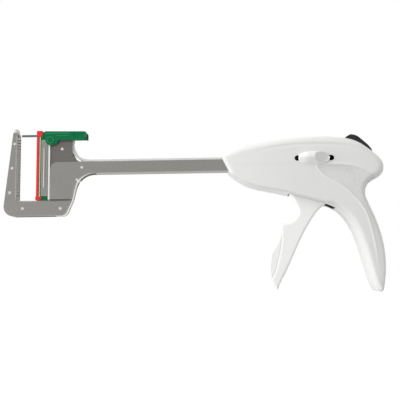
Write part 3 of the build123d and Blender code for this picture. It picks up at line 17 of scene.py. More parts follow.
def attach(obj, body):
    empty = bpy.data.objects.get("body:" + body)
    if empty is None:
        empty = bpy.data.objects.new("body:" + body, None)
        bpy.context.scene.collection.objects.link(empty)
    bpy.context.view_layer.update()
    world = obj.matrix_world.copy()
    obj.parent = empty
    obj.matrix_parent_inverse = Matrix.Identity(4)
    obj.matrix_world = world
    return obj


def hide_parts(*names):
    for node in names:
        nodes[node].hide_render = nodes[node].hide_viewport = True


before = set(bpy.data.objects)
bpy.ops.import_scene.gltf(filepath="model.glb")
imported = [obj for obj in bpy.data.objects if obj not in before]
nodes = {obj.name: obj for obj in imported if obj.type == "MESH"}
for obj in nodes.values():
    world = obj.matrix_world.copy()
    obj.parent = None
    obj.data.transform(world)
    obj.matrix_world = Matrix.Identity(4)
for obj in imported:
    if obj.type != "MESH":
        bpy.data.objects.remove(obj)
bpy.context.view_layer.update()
MM = 0.001

# %% [markdown]
# ## Camera
# The photograph looks square at the left side from a little below the shaft. A camera could be aimed with a
# Track To constraint, but a small roll is needed too, so the matrix is written from three directions:
# right, up and back. The lens follows from the photograph's field of view, as a focal length in pixels over
# the width of the picture.

# %% Camera
view_pitch = math.radians(6.5)
view_roll = math.radians(0.94)
focal_px = 560
picture_px = 400
camera_place_mm = (-21.57, -528.58, -92.41)
back_way = Vector((0, -math.cos(view_pitch), -math.sin(view_pitch)))
side_way = Vector((1, 0, 0))
up_way = back_way.cross(side_way)
right_way = side_way * math.cos(view_roll) - up_way * math.sin(view_roll)
top_way = side_way * math.sin(view_roll) + up_way * math.cos(view_roll)

camera_data = bpy.data.cameras.new("photo_camera")
camera_data.sensor_width = 36
camera_data.lens = camera_data.sensor_width * focal_px / picture_px
camera = bpy.data.objects.new("photo_camera", camera_data)
bpy.context.scene.collection.objects.link(camera)
turn = Matrix((right_way, top_way, back_way)).transposed().to_4x4()
camera.matrix_world = Matrix.Translation(Vector(camera_place_mm) * MM) @ turn
bpy.context.scene.camera = camera
bpy.context.scene.view_settings.view_transform = "Standard"
print("camera lens", round(camera_data.lens, 1), "mm")

# %% [markdown]
# ## Light and backdrop
# The photograph was taken in a white tent: light comes from everywhere, more from the left and a little
# from above. Many lamps could build that, but a world whose brightness grows towards one direction does it
# with one gradient. Two large soft lamps, one high and one low on the left, model the rims and the soft
# shadow. What the camera sees of the world is plain white, through the Light Path node, so the backdrop
# never has to be lit until it clips, and so is what mirrors see, because the steel of the real one reflects
# the white tent. The floor lies well below the instrument and carries its soft shadow.


# %% Node helpers
def place(tree, kind, inputs=None, **settings):
    """Adds a node, sets its properties and the default values of its inputs."""
    node = tree.nodes.new(kind)
    for name, value in settings.items():
        setattr(node, name, value)
    for socket, value in (inputs or {}).items():
        node.inputs[socket].default_value = value
    return node


def wire(tree, *pairs):
    """Links an output to an input for each pair of (node, socket) and (node, socket)."""
    for (source, out), (target, into) in pairs:
        tree.links.new(source.outputs[out], target.inputs[into])


def white_when_seen(tree, plain, white):
    """Mixes a plain shader with a white one, which only the camera and mirrored or transmitted rays see."""
    ray = place(tree, "ShaderNodeLightPath")
    mirrored = place(tree, "ShaderNodeMath", operation="MAXIMUM")
    seen_ray = place(tree, "ShaderNodeMath", operation="MAXIMUM")
    mix = place(tree, "ShaderNodeMixShader")
    wire(
        tree,
        ((ray, "Is Camera Ray"), (mirrored, 0)),
        ((ray, "Is Glossy Ray"), (mirrored, 1)),
        ((mirrored, 0), (seen_ray, 0)),
        ((ray, "Is Transmission Ray"), (seen_ray, 1)),
        ((seen_ray, 0), (mix, 0)),
        ((plain, 0), (mix, 1)),
        ((white, 0), (mix, 2)),
    )
    return mix


print("helpers ready: place, wire, white_when_seen")

# %% The tent
tent = bpy.data.worlds.new("light_tent")
bpy.context.scene.world = tent
tent.use_nodes = True
tree = tent.node_tree
tree.nodes.clear()
light_way = (-0.90, -0.21, 0.37)
dimmest, brightest = 0.2, 1.4
way = place(tree, "ShaderNodeTexCoord")
toward = place(tree, "ShaderNodeVectorMath", operation="DOT_PRODUCT", inputs={1: light_way})
glow = place(
    tree, "ShaderNodeMapRange",
    inputs={"From Min": -1.0, "From Max": 1.0, "To Min": dimmest, "To Max": brightest},
)
walls = place(tree, "ShaderNodeBackground", inputs={"Color": (1.0, 1.0, 0.99, 1)})
seen = place(tree, "ShaderNodeBackground", inputs={"Color": (1, 1, 1, 1), "Strength": 1.0})
tent_mix = white_when_seen(tree, walls, seen)
tent_out = place(tree, "ShaderNodeOutputWorld")
wire(
    tree,
    ((way, "Generated"), (toward, 0)),
    ((toward, "Value"), (glow, "Value")),
    ((glow, "Result"), (walls, "Strength")),
    ((tent_mix, 0), (tent_out, "Surface")),
)
print("tent: brightness", dimmest, "away from the light to", brightest, "towards it")


# %% Lamps
def soft_lamp(name, place_mm, aim_mm, size_mm, watts):
    """A square area lamp at a point, aimed at another."""
    data = bpy.data.lights.new(name, "AREA")
    data.shape = "SQUARE"
    data.size = size_mm * MM
    data.energy = watts
    lamp = bpy.data.objects.new(name, data)
    bpy.context.scene.collection.objects.link(lamp)
    lamp.location = Vector(place_mm) * MM
    toward = (Vector(aim_mm) - Vector(place_mm)).normalized()
    lamp.rotation_euler = toward.to_track_quat("-Z", "Y").to_euler()
    return lamp


soft_lamp("key_lamp", (-420, -520, 760), (0, 0, -20), 620, 1.2)
soft_lamp("side_lamp", (-1500, -360, -120), (0, 0, -40), 900, 19)
print("a key lamp from the upper left and a low side lamp from the left")

# %% Floor
floor_half = 4000 * MM
floor_level = -210 * MM
floor_mesh = bpy.data.meshes.new("floor")
floor_signs = ((-1, -1), (1, -1), (1, 1), (-1, 1))
floor_corners = [(x * floor_half, y * floor_half, floor_level) for x, y in floor_signs]
floor_mesh.from_pydata(floor_corners, [], [(0, 1, 2, 3)])
floor = bpy.data.objects.new("floor", floor_mesh)
bpy.context.scene.collection.objects.link(floor)
floor_paint = bpy.data.materials.new("white_paper")
floor_paint.use_nodes = True
tree = floor_paint.node_tree
tree.nodes.clear()
shade = place(tree, "ShaderNodeBsdfDiffuse", inputs={"Color": (0.50, 0.50, 0.50, 1)})
paper = place(tree, "ShaderNodeBsdfDiffuse", inputs={"Color": (0.86, 0.86, 0.86, 1)})
lift = place(tree, "ShaderNodeEmission", inputs={"Color": (1, 1, 1, 1), "Strength": 0.35})
lit_paper = place(tree, "ShaderNodeAddShader")
wire(tree, ((paper, 0), (lit_paper, 0)), ((lift, 0), (lit_paper, 1)))
floor_mix = white_when_seen(tree, shade, lit_paper)
floor_out = place(tree, "ShaderNodeOutputMaterial")
wire(tree, ((floor_mix, 0), (floor_out, "Surface")))
floor_mesh.materials.append(floor_paint)
print("floor", round(-floor_level / MM), "mm below the shaft")

# %% [markdown]
# ## Shared effects
# Three effects come back in several finishes, so each is a node group with its own inputs. The first is
# grain: a small height and a shade that vary over the surface, for blasted steel and for the skin of
# moulded plastic. A photograph of a surface could do that too, but noise needs no picture and has no seams.
# The second finds edges, by comparing the surface's direction with the direction a rounded copy would have;
# there it paints a highlight into the colour, as steel shines and plastic catches a little light there, and
# it paints shade there instead where a finish asks for darker edges. Painting the edges by hand would be lost
# whenever a piece changes. The third limits an effect to a marked field: the thumb's web and the scoops of
# the knobs are a little rougher than the plastic round them, and darker with painted shade, as the web is let
# in and the scoop turns away from the light. A second material with a sharp border could do that, but the
# real ones fade out.


# %% Group: grain
def grain_group():
    """Noise on two scales: a height for bump and a shade round 1 for colour."""
    group = bpy.data.node_groups.new("surface_grain", "ShaderNodeTree")
    for name, value in (("Scale", 900.0), ("Contrast", 0.1), ("Cloud", 0.05)):
        group.interface.new_socket(name, in_out="INPUT", socket_type="NodeSocketFloat").default_value = value
    group.interface.new_socket("Height", in_out="OUTPUT", socket_type="NodeSocketFloat")
    group.interface.new_socket("Shade", in_out="OUTPUT", socket_type="NodeSocketFloat")
    into = place(group, "NodeGroupInput")
    out = place(group, "NodeGroupOutput")
    where = place(group, "ShaderNodeTexCoord")
    fine = place(group, "ShaderNodeTexNoise", inputs={"Detail": 3.0, "Roughness": 0.6})
    cloud = place(group, "ShaderNodeTexNoise", inputs={"Scale": 22.0, "Detail": 2.0})
    fine_mid = place(group, "ShaderNodeMath", operation="SUBTRACT", inputs={1: 0.5})
    cloud_mid = place(group, "ShaderNodeMath", operation="SUBTRACT", inputs={1: 0.5})
    fine_part = place(group, "ShaderNodeMath", operation="MULTIPLY_ADD", inputs={2: 1.0})
    total = place(group, "ShaderNodeMath", operation="MULTIPLY_ADD")
    wire(
        group,
        ((where, "Object"), (fine, "Vector")),
        ((where, "Object"), (cloud, "Vector")),
        ((into, "Scale"), (fine, "Scale")),
        ((fine, "Fac"), (fine_mid, 0)),
        ((cloud, "Fac"), (cloud_mid, 0)),
        ((fine_mid, 0), (fine_part, 0)),
        ((into, "Contrast"), (fine_part, 1)),
        ((cloud_mid, 0), (total, 0)),
        ((into, "Cloud"), (total, 1)),
        ((fine_part, 0), (total, 2)),
        ((fine, "Fac"), (out, "Height")),
        ((total, 0), (out, "Shade")),
    )
    return group


grain = grain_group()
print("group", grain.name, "with", len(grain.nodes), "nodes")


# %% Group: edges
def edge_group():
    """A mask that is 1 along edges, from the angle between the true and a rounded normal, for painted edge
    highlight and shade.
    """
    group = bpy.data.node_groups.new("painted_edge_light", "ShaderNodeTree")
    group.interface.new_socket("Start", in_out="INPUT", socket_type="NodeSocketFloat").default_value = 0.03
    group.interface.new_socket("Mask", in_out="OUTPUT", socket_type="NodeSocketFloat")
    into = place(group, "NodeGroupInput")
    out = place(group, "NodeGroupOutput")
    rounded = place(group, "ShaderNodeBevel", samples=4, inputs={"Radius": 0.0005})
    true_way = place(group, "ShaderNodeNewGeometry")
    same = place(group, "ShaderNodeVectorMath", operation="DOT_PRODUCT")
    differ = place(group, "ShaderNodeMath", operation="SUBTRACT", inputs={0: 1.0})
    mask = place(group, "ShaderNodeMapRange", inputs={"From Max": 0.25})
    wire(
        group,
        ((rounded, 0), (same, 0)),
        ((true_way, "Normal"), (same, 1)),
        ((same, "Value"), (differ, 1)),
        ((differ, 0), (mask, "Value")),
        ((into, "Start"), (mask, "From Min")),
        ((mask, "Result"), (out, "Mask")),
    )
    return group


edges = edge_group()
print("group", edges.name, "with", len(edges.nodes), "nodes")


# %% Group: marked field
def field_group():
    """Darkens a colour as painted shade and passes a height on, only where the mesh carries its mark of grain
    and shade.
    """
    group = bpy.data.node_groups.new("marked_field", "ShaderNodeTree")
    group.interface.new_socket("Colour", in_out="INPUT", socket_type="NodeSocketColor")
    group.interface.new_socket("Height", in_out="INPUT", socket_type="NodeSocketFloat")
    group.interface.new_socket("Darker", in_out="INPUT", socket_type="NodeSocketFloat").default_value = 0.1
    group.interface.new_socket("Colour", in_out="OUTPUT", socket_type="NodeSocketColor")
    group.interface.new_socket("Height", in_out="OUTPUT", socket_type="NodeSocketFloat")
    into = place(group, "NodeGroupInput")
    out = place(group, "NodeGroupOutput")
    mark = place(group, "ShaderNodeAttribute", attribute_name="grain_shade_mark")
    amount = place(group, "ShaderNodeMath", operation="MULTIPLY")
    left_over = place(group, "ShaderNodeMath", operation="SUBTRACT", inputs={0: 1.0})
    shade = place(group, "ShaderNodeMix", data_type="RGBA", blend_type="MULTIPLY", inputs={"Factor": 1.0})
    height = place(group, "ShaderNodeMath", operation="MULTIPLY")
    wire(
        group,
        ((mark, "Fac"), (amount, 0)),
        ((into, "Darker"), (amount, 1)),
        ((amount, 0), (left_over, 1)),
        ((into, "Colour"), (shade, "A")),
        ((left_over, 0), (shade, "B")),
        ((into, "Height"), (height, 0)),
        ((mark, "Fac"), (height, 1)),
        ((shade, "Result"), (out, "Colour")),
        ((height, 0), (out, "Height")),
    )
    return group


field = field_group()
print("group", field.name, "with", len(field.nodes), "nodes")

# %% [markdown]
# ## Finishes
# Every finish is one Principled shader with a base colour that the grain varies and a painted edge highlight
# lifts. The plates of the jaw are bead-blasted steel: dull, even grey with a fine speckle, so they are metal
# with a fairly high roughness. Rivets and screws are smoother and brighter, and the long retaining pin is
# smooth and dark. Several finishes are lit or shaded copies of another: the lighter steels, the lighter green
# and the cream are painted highlight, the trigger's whiter plastic is painted light, and the darker steel and
# the near-black finishes of the pockets and the openings are painted shade. The plastics differ only in
# colour, gloss and grain, so one function makes them all.


# %% Finish maker
def finish(
    name, colour, roughness, metal=0.0, shine=0.5, grain_scale=900.0, contrast=0.1, cloud=0.05, bump=0.05,
    edge=0.0,
):
    """A Principled material whose colour carries grain and a painted highlight along edges; a negative edge
    darkens them as painted shade.
    """
    paint = bpy.data.materials.new(name)
    paint.use_nodes = True
    tree = paint.node_tree
    shader = tree.nodes["Principled BSDF"]
    shader.inputs["Metallic"].default_value = metal
    shader.inputs["Roughness"].default_value = roughness
    shader.inputs["Specular IOR Level"].default_value = shine
    speck = place(
        tree, "ShaderNodeGroup", {"Scale": grain_scale, "Contrast": contrast, "Cloud": cloud}, node_tree=grain
    )
    tone = place(tree, "ShaderNodeMix", data_type="RGBA", blend_type="MULTIPLY", inputs={"Factor": 1.0})
    tone.inputs["A"].default_value = (*colour, 1)
    rim = place(tree, "ShaderNodeGroup", node_tree=edges)
    lift = place(tree, "ShaderNodeMath", operation="MULTIPLY_ADD", inputs={1: edge, 2: 1.0})
    both = place(tree, "ShaderNodeMath", operation="MULTIPLY")
    relief = place(tree, "ShaderNodeBump", inputs={"Strength": bump, "Distance": 0.2 * MM})
    wire(
        tree,
        ((rim, "Mask"), (lift, 0)),
        ((speck, "Shade"), (both, 0)),
        ((lift, 0), (both, 1)),
        ((both, 0), (tone, "B")),
        ((tone, "Result"), (shader, "Base Color")),
        ((speck, "Height"), (relief, "Height")),
        ((relief, "Normal"), (shader, "Normal")),
    )
    return paint


print("finish makes a material from a colour and a roughness")


# %% Grain and painted shade on a finish
def add_grain_and_painted_shade(paint, darker, depth):
    """Lays a coarse grain over a finish, deep in metres, and darkens it as painted shade, within its marked
    field.
    """
    tree = paint.node_tree
    shader = tree.nodes["Principled BSDF"]
    plain = shader.inputs["Base Color"].links[0].from_socket
    skin = shader.inputs["Normal"].links[0].from_socket
    leather = place(tree, "ShaderNodeGroup", {"Scale": 650}, node_tree=grain)
    marked = place(tree, "ShaderNodeGroup", {"Darker": darker}, node_tree=field)
    relief = place(tree, "ShaderNodeBump", inputs={"Strength": 1.0, "Distance": depth})
    tree.links.new(plain, marked.inputs["Colour"])
    tree.links.new(skin, relief.inputs["Normal"])
    wire(
        tree,
        ((leather, "Height"), (marked, "Height")),
        ((marked, "Colour"), (shader, "Base Color")),
        ((marked, "Height"), (relief, "Height")),
        ((relief, "Normal"), (shader, "Normal")),
    )


print("add_grain_and_painted_shade adds the field's grain to a finish")


# %% All finishes
# The edge amount of each finish paints a highlight into its colour along edges; a negative amount paints
# shade there.
paints = {
    "blasted_steel": finish(
        "blasted_steel", (0.245, 0.240, 0.228), 0.42, metal=1.0, grain_scale=1500, contrast=0.5, cloud=0.1,
        bump=0.25, edge=1.3
    ),
    # Its negative edge amount paints shade as a dark ring round the rivets, pins and screws.
    "smooth_steel": finish(
        "smooth_steel", (0.78, 0.77, 0.75), 0.22, metal=1.0, grain_scale=1500, contrast=0.2, edge=-0.85
    ),
    # A lighter copy of the steel: painted highlight on the neck band, with painted shade at its edges.
    "bright_steel": finish(
        "bright_steel", (0.6, 0.59, 0.57), 0.3, metal=1.0, grain_scale=1500, contrast=0.2, edge=-0.5
    ),
    # Near-white steel: painted highlight on the bridges between the anvil's pockets.
    "bridge_highlight_steel": finish("bridge_highlight_steel", (0.85, 0.84, 0.82), 0.35, metal=1.0, contrast=0.1),
    # A lighter copy of the steel: painted highlight on the beads.
    "bead_highlight_steel": finish("bead_highlight_steel", (0.34, 0.33, 0.315), 0.4, metal=1.0, contrast=0.2),
    "pin_steel": finish(
        "pin_steel", (0.13, 0.13, 0.127), 0.3, metal=1.0, grain_scale=1500, contrast=0.2, edge=0.5
    ),
    # A darker copy of the steel: painted shade on the frame plates, which lie recessed between the outer
    # plates.
    "shaded_plate_steel": finish(
        "shaded_plate_steel", (0.148, 0.140, 0.131), 0.45, metal=1.0, grain_scale=1500, contrast=0.4, bump=0.2,
        edge=0.8
    ),
    # Near black with no reflection: painted shade in the anvil's pockets.
    "pocket_shade": finish("pocket_shade", (0.008, 0.008, 0.008), 0.6, bump=0.0, shine=0.0),
    # Whiter than the housing's plastic: painted light, for the light bounced up onto the trigger from below.
    "trigger_plastic_lit": finish(
        "trigger_plastic_lit", (0.92, 0.92, 0.915), 0.38, grain_scale=700, contrast=0.01, cloud=0.01, edge=0.05
    ),
    "white_plastic": finish(
        "white_plastic", (0.775, 0.775, 0.765), 0.38, grain_scale=700, contrast=0.02, cloud=0.03, edge=0.1
    ),
    "knob_plastic": finish(
        "knob_plastic", (0.86, 0.86, 0.85), 0.28, grain_scale=700, contrast=0.01, cloud=0.01, edge=0.05
    ),
    "green_plastic": finish(
        "green_plastic", (0.001, 0.150, 0.052), 0.42, contrast=0.2, edge=2.0, shine=0.12
    ),
    # A lighter copy of the green: painted highlight on the ribs and ring of the arm.
    "green_highlight": finish(
        "green_highlight", (0.004, 0.235, 0.10), 0.38, contrast=0.15, edge=0.5, shine=0.3
    ),
    "red_plastic": finish("red_plastic", (0.72, 0.009, 0.016), 0.32, contrast=0.08, edge=0.2),
    # Cream on the reload's deck: a painted highlight along the rounded green edge.
    "cream_plastic": finish("cream_plastic", (0.72, 0.70, 0.52), 0.4, edge=0.2),
    "grey_plastic": finish("grey_plastic", (0.3, 0.3, 0.31), 0.4, contrast=0.08, edge=0.2),
    # Near black: painted shade on the cut faces of the housing's openings.
    "inner_shade": finish("inner_shade", (0.05, 0.05, 0.05), 0.7, bump=0.0),
    "black_plastic": finish(
        "black_plastic", (0.012, 0.011, 0.011), 0.36, edge=1.5, shine=0.3
    ),
}
# In the web of the thumb: grain, and a little painted shade of the recess.
add_grain_and_painted_shade(paints["white_plastic"], darker=0.02, depth=0.8 * MM)
# In the thumb scoop: painted shade, a fifth darker, and a faint grain.
add_grain_and_painted_shade(paints["knob_plastic"], darker=0.2, depth=0.1 * MM)
print("finishes:", ", ".join(paints))

# %% [markdown]
# ## Dressing the CAD pieces
# Plates, pins, bars and the reload already have their true shape, so they keep their CAD mesh and only
# change finish. Each finish lists the nodes that wear it, so a piece that is missing from the list shows at
# once in the count. The halves of the housing, the trigger, the knobs and the reload are dressed too,
# although moulded forms take their place further down.

# %% Which piece has which finish
wears = {
    "blasted_steel": (
        "jaw_doubler_left jaw_doubler_right shaft_cover_left shaft_cover_right jaw_shell anvil "
        "closing_bar firing_bar knob_crossbar release_pawl"
    ),
    # The frame plates wear the darker steel, painted shade of their recess.
    "shaded_plate_steel": "frame_plate_left frame_plate_right",
    "smooth_steel": (
        "jaw_rivets upper_rivet cover_rivets jaw_pin closing_pin trigger_pin button_pin "
        "housing_screws staples trigger_spring button_spring"
    ),
    "pin_steel": "retaining_pin",
    "white_plastic": (
        "anvil_tip lower_guide jaw_slider pin_pusher slider_knob_left slider_knob_right "
        "housing_left housing_right"
    ),
    # The trigger wears the whiter plastic, painted light.
    "trigger_plastic_lit": "trigger",
    "green_plastic": "reload_body",
    "red_plastic": "staple_retainer",
    # The deck's cream is a painted highlight on the green edge.
    "cream_plastic": "reload_deck",
    "grey_plastic": "staple_driver",
    "black_plastic": "release_button",
}
for paint_name, names in wears.items():
    for name in names.split():
        mesh = nodes[name].data
        mesh.materials.clear()
        mesh.materials.append(paints[paint_name])
print("dressed", sum(len(names.split()) for names in wears.values()), "of", len(nodes), "nodes")

# %% [markdown]
# ## Moulding soft forms
# The housing, the trigger and the knobs are injection moulded: each has a side outline, a flank that is
# nearly flat, and rims that roll over by a different amount on every side. Subdivision surfaces could give
# that form, but they shrink away from the outline. Here a mould is pressed from the outline instead: points
# are laid over it, closest near the rim, a Delaunay triangulation joins them, and a depth function pushes
# each point outwards. The form then follows the true outline, and every rim has its own radius. The next
# cells are the tools for that: a smooth line, a distance from it, the points, the press itself and a way to
# cut openings.


# %% Smooth line through points
def smooth_line(points, start_way, end_way, step):
    """Points about a step apart on a smooth curve, which leaves and arrives in the given ways."""
    knots = np.array(points, float)
    span = np.linalg.norm(np.diff(knots, axis=0), axis=1)
    count = len(knots)
    system = np.eye(count)
    known = np.zeros((count, 2))
    known[0] = np.array(start_way) / np.linalg.norm(start_way)
    known[-1] = np.array(end_way) / np.linalg.norm(end_way)
    for i in range(1, count - 1):
        before, after = span[i - 1], span[i]
        system[i, i - 1], system[i, i], system[i, i + 1] = after, 2 * (before + after), before
        came, goes = knots[i] - knots[i - 1], knots[i + 1] - knots[i]
        known[i] = 3 * (after * came / before + before * goes / after)
    slope = np.linalg.solve(system, known)
    line = []
    for i in range(count - 1):
        pieces = max(1, round(span[i] / step))
        for t in np.arange(pieces) / pieces:
            a, b = knots[i], knots[i + 1]
            line.append(
                a * (2 * t**3 - 3 * t**2 + 1) + b * (3 * t**2 - 2 * t**3)
                + span[i] * (slope[i] * (t**3 - 2 * t**2 + t) + slope[i + 1] * (t**3 - t**2))
            )
    line.append(knots[-1])
    return np.array(line)


print("a smooth hump has", len(smooth_line([(0, 0), (10, 4), (20, 0)], (1, 1), (1, -1), 1.0)), "points")


# %% Distance from a line
def line_distance(points, line, at_once=1500):
    """Distance of each point from a polyline, its place along it, and the side: + on the right of its run."""
    near = np.full(len(points), 1e9)
    where = np.zeros(len(points))
    side = np.ones(len(points))
    for start in range(0, len(points), at_once):
        these = slice(start, start + at_once)
        block = points[these]
        a, b = line[:-1], line[1:]
        run = b - a
        rel = block[:, None, :] - a[None]
        t = np.clip((rel * run).sum(-1) / np.maximum((run * run).sum(-1), 1e-12), 0, 1)
        gap = rel - t[..., None] * run
        dist = np.sqrt((gap * gap).sum(-1))
        best = dist.argmin(1)
        rows = np.arange(len(block))
        near[these] = dist[rows, best]
        where[these] = best + t[rows, best]
        cross = run[best, 0] * rel[rows, best, 1] - run[best, 1] * rel[rows, best, 0]
        side[these] = np.where(cross > 0, -1.0, 1.0)
    return near, where, side


test_gap, _, test_side = line_distance(np.array([(1.0, -2.0)]), np.array([(0.0, 0.0), (5.0, 0.0)]))
print("a point below a line that runs to the right: distance", test_gap[0], "side", test_side[0])

# %% Points over an outline
rim_rings = 8


def inward_of(outline):
    """Unit direction into a clockwise outline at each of its points."""
    run = np.roll(outline, -1, axis=0) - np.roll(outline, 1, axis=0)
    return np.stack([run[:, 1], -run[:, 0]], 1) / np.linalg.norm(run, axis=1)[:, None]


def lay_points(outline, reach, extra, grid):
    """The closed outline, and the points laid in it: rings as far as the reach, a grid, and extra lines."""
    loop = np.vstack([outline, outline[:1]])
    inward = inward_of(outline)
    laid = []
    for ring in range(1, rim_rings + 1):
        depth = reach * (1 - math.cos(math.radians(90 * ring / rim_rings)))
        shifted = outline + inward * depth[:, None]
        gap, _, side = line_distance(shifted, loop)
        laid.append(shifted[(gap > depth * 0.97 - 0.01) & (side > 0)])
    low, high = outline.min(0), outline.max(0)
    across, along = np.meshgrid(np.arange(low[0], high[0], grid), np.arange(low[1], high[1], grid))
    sheet = np.stack([across.ravel(), along.ravel()], 1)
    gap, where, side = line_distance(sheet, loop)
    rim = np.interp(where, np.arange(len(reach) + 1), np.append(reach, reach[0]))
    laid.append(sheet[(side > 0) & (gap > rim + grid * 0.4)])
    for line in extra:
        gap, _, side = line_distance(line, loop)
        laid.append(line[(side > 0) & (gap > 0.25)])
    return loop, np.vstack(laid)


square = np.array([(0.0, 0.0), (0.0, 9.0), (9.0, 9.0), (9.0, 0.0)])
print("a 9 mm square gets", len(lay_points(square, np.full(4, 1.0), (), 2.0)[1]), "points inside")


# %% Press a form
def press(outline, reach, depth_at, extra=(), grid=2.0, seam=0.3, base=0.0):
    """Vertices (mm) and faces of a solid half: pressed flank, straight wall and a flat cut at its base.

    The flank is triangulated first. Then the wall goes down in rows to the base, where a small chamfer makes
    the seam, and a flat cap closes the last row.
    """
    loop, laid = lay_points(outline, reach, extra, grid)
    flat = [Vector(p) for p in np.vstack([outline, laid])]
    ring = list(range(len(outline)))
    flat_points, _, faces, origin, _, _ = delaunay_2d_cdt(flat, [], [ring], 1, 1e-5)
    spots = np.array([tuple(p) for p in flat_points])
    depth = depth_at(spots, loop)
    verts = [(x, -d, z) for (x, z), d in zip(spots, depth)]
    home = {}
    for new, olds in enumerate(origin):
        for old in olds:
            home[old] = new
    rim = [home[i] for i in ring]
    faces = [tuple(face) for face in faces]
    a, b, c = (spots[list(corner)] for corner in zip(*faces[:50]))
    turn_way = ((b[:, 0] - a[:, 0]) * (c[:, 1] - a[:, 1]) - (c[:, 0] - a[:, 0]) * (b[:, 1] - a[:, 1])).sum()
    if turn_way < 0:
        faces = [face[::-1] for face in faces]
    inward = inward_of(outline)
    rows = [rim]
    wall = np.array([depth[i] for i in rim]) - base
    count = len(outline)
    wall_rows = (
        (base + 0.66 * wall, 0),
        (base + 0.33 * wall, 0),
        (np.full(count, base + seam), 0),
        (np.full(count, base), seam),
    )
    for outward, inset in wall_rows:
        start = len(verts)
        verts += [(x, -y, z) for (x, z), y in zip(outline + inward * inset, outward)]
        rows.append(list(range(start, start + count)))
    for upper, lower in zip(rows[:-1], rows[1:]):
        for i in range(count):
            j = (i + 1) % count
            faces.append((upper[i], upper[j], lower[j], lower[i]))
    cap = [Vector(verts[i][::2]) for i in rows[-1]]
    cap_points, _, cap_faces, cap_origin, _, _ = delaunay_2d_cdt(cap, [], [list(range(count))], 1, 1e-6)
    back = {new: rows[-1][olds[0]] for new, olds in enumerate(cap_origin) if olds}
    for new, spot in enumerate(cap_points):
        if new not in back:
            back[new] = len(verts)
            verts.append((spot[0], -base, spot[1]))
    for face in cap_faces:
        a, b, c = (cap_points[i] for i in face)
        order = face if (b - a).cross(c - a) < 0 else face[::-1]
        faces.append(tuple(back[i] for i in order))
    return verts, faces


print("press turns an outline and a depth into a closed half")


# %% Into Blender
def add_piece(name, verts, faces, paint, body, flip=False):
    """A mesh object in metres from millimetres, riding on a body; flip mirrors it to the right side."""
    mesh = bpy.data.meshes.new(name)
    sign = -1 if flip else 1
    turned = [face[::-1] if flip else face for face in faces]
    mesh.from_pydata([(x * MM, y * MM * sign, z * MM) for x, y, z in verts], [], turned)
    mesh.validate()
    mesh.materials.append(paint)
    piece = bpy.data.objects.new(name, mesh)
    bpy.context.scene.collection.objects.link(piece)
    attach(piece, body)
    return piece


def box_mesh(name, low, high):
    """A closed box in millimetres, used only to cut with."""
    corners = [(x, y, z) for x in (low[0], high[0]) for y in (low[1], high[1]) for z in (low[2], high[2])]
    sides = [(0, 1, 3, 2), (4, 6, 7, 5), (0, 4, 5, 1), (2, 3, 7, 6), (0, 2, 6, 4), (1, 5, 7, 3)]
    mesh = bpy.data.meshes.new(name)
    mesh.from_pydata([tuple(c * MM for c in corner) for corner in corners], [], sides)
    return mesh


def prism_mesh(name, outline, near, far):
    """A closed prism in millimetres over an outline in x and z, between two depths y."""
    count = len(outline)
    verts = [(x * MM, y * MM, z * MM) for y in (near, far) for x, z in outline]
    sides = [(i, (i + 1) % count, count + (i + 1) % count, count + i) for i in range(count)]
    sides += [tuple(range(count))[::-1], tuple(range(count, 2 * count))]
    mesh = bpy.data.meshes.new(name)
    mesh.from_pydata(verts, [], sides)
    return mesh


# By default the cut faces get the near-black painted shade of the openings.
def carve(piece, cutters, paint="inner_shade"):
    """Cuts each closed mesh out of a piece, one after the other; the cut faces get the named finish."""
    holders = []
    for mesh in cutters:
        mesh.materials.append(paints[paint])
        holder = bpy.data.objects.new(mesh.name, mesh)
        bpy.context.scene.collection.objects.link(holder)
        cut = piece.modifiers.new(mesh.name, "BOOLEAN")
        cut.operation = "DIFFERENCE"
        cut.solver = "EXACT"
        cut.material_mode = "TRANSFER"
        cut.object = holder
        holders.append(holder)
    bpy.context.view_layer.update()
    done = bpy.data.meshes.new_from_object(piece.evaluated_get(bpy.context.evaluated_depsgraph_get()))
    piece.modifiers.clear()
    old = piece.data
    piece.data = done
    done.name = old.name + "_cut"
    bpy.data.meshes.remove(old)
    for holder in holders:
        mesh = holder.data
        bpy.data.objects.remove(holder)
        bpy.data.meshes.remove(mesh)


def smooth(piece, degrees=34):
    """Smooth shading, with every edge sharper than an angle kept crisp."""
    for polygon in piece.data.polygons:
        polygon.use_smooth = True
    piece.data.set_sharp_from_angle(angle=math.radians(degrees))


print("add_piece, carve and smooth are ready")

# %% [markdown]
# ## The housing
# The pistol grip is two moulded halves that meet in a fine seam. Its side outline is the CAD part's own,
# given again as the few points that its smooth lines pass through. The rim rolls over widely along the top
# and the grip, tightly along the flat underside, and the plan narrows towards the nose, where the shaft
# comes out.

# %% Side outline of the housing
nose_top, bulb_top, web_low, heel = (-1.7, 9.3), (147.8, 6.0), (134.8, -34.8), (146.2, -117.3)
toe, trigger_rear, nose_low = (140.2, -119.2), (98.0, -39.0), (7.0, -8.3)
bulb_way, web_way, heel_way = (0.7, -0.71), (0.36, -0.93), (-0.2, -1)
toe_way, under_way = (-0.55, 0.83), (-0.94, 0.34)

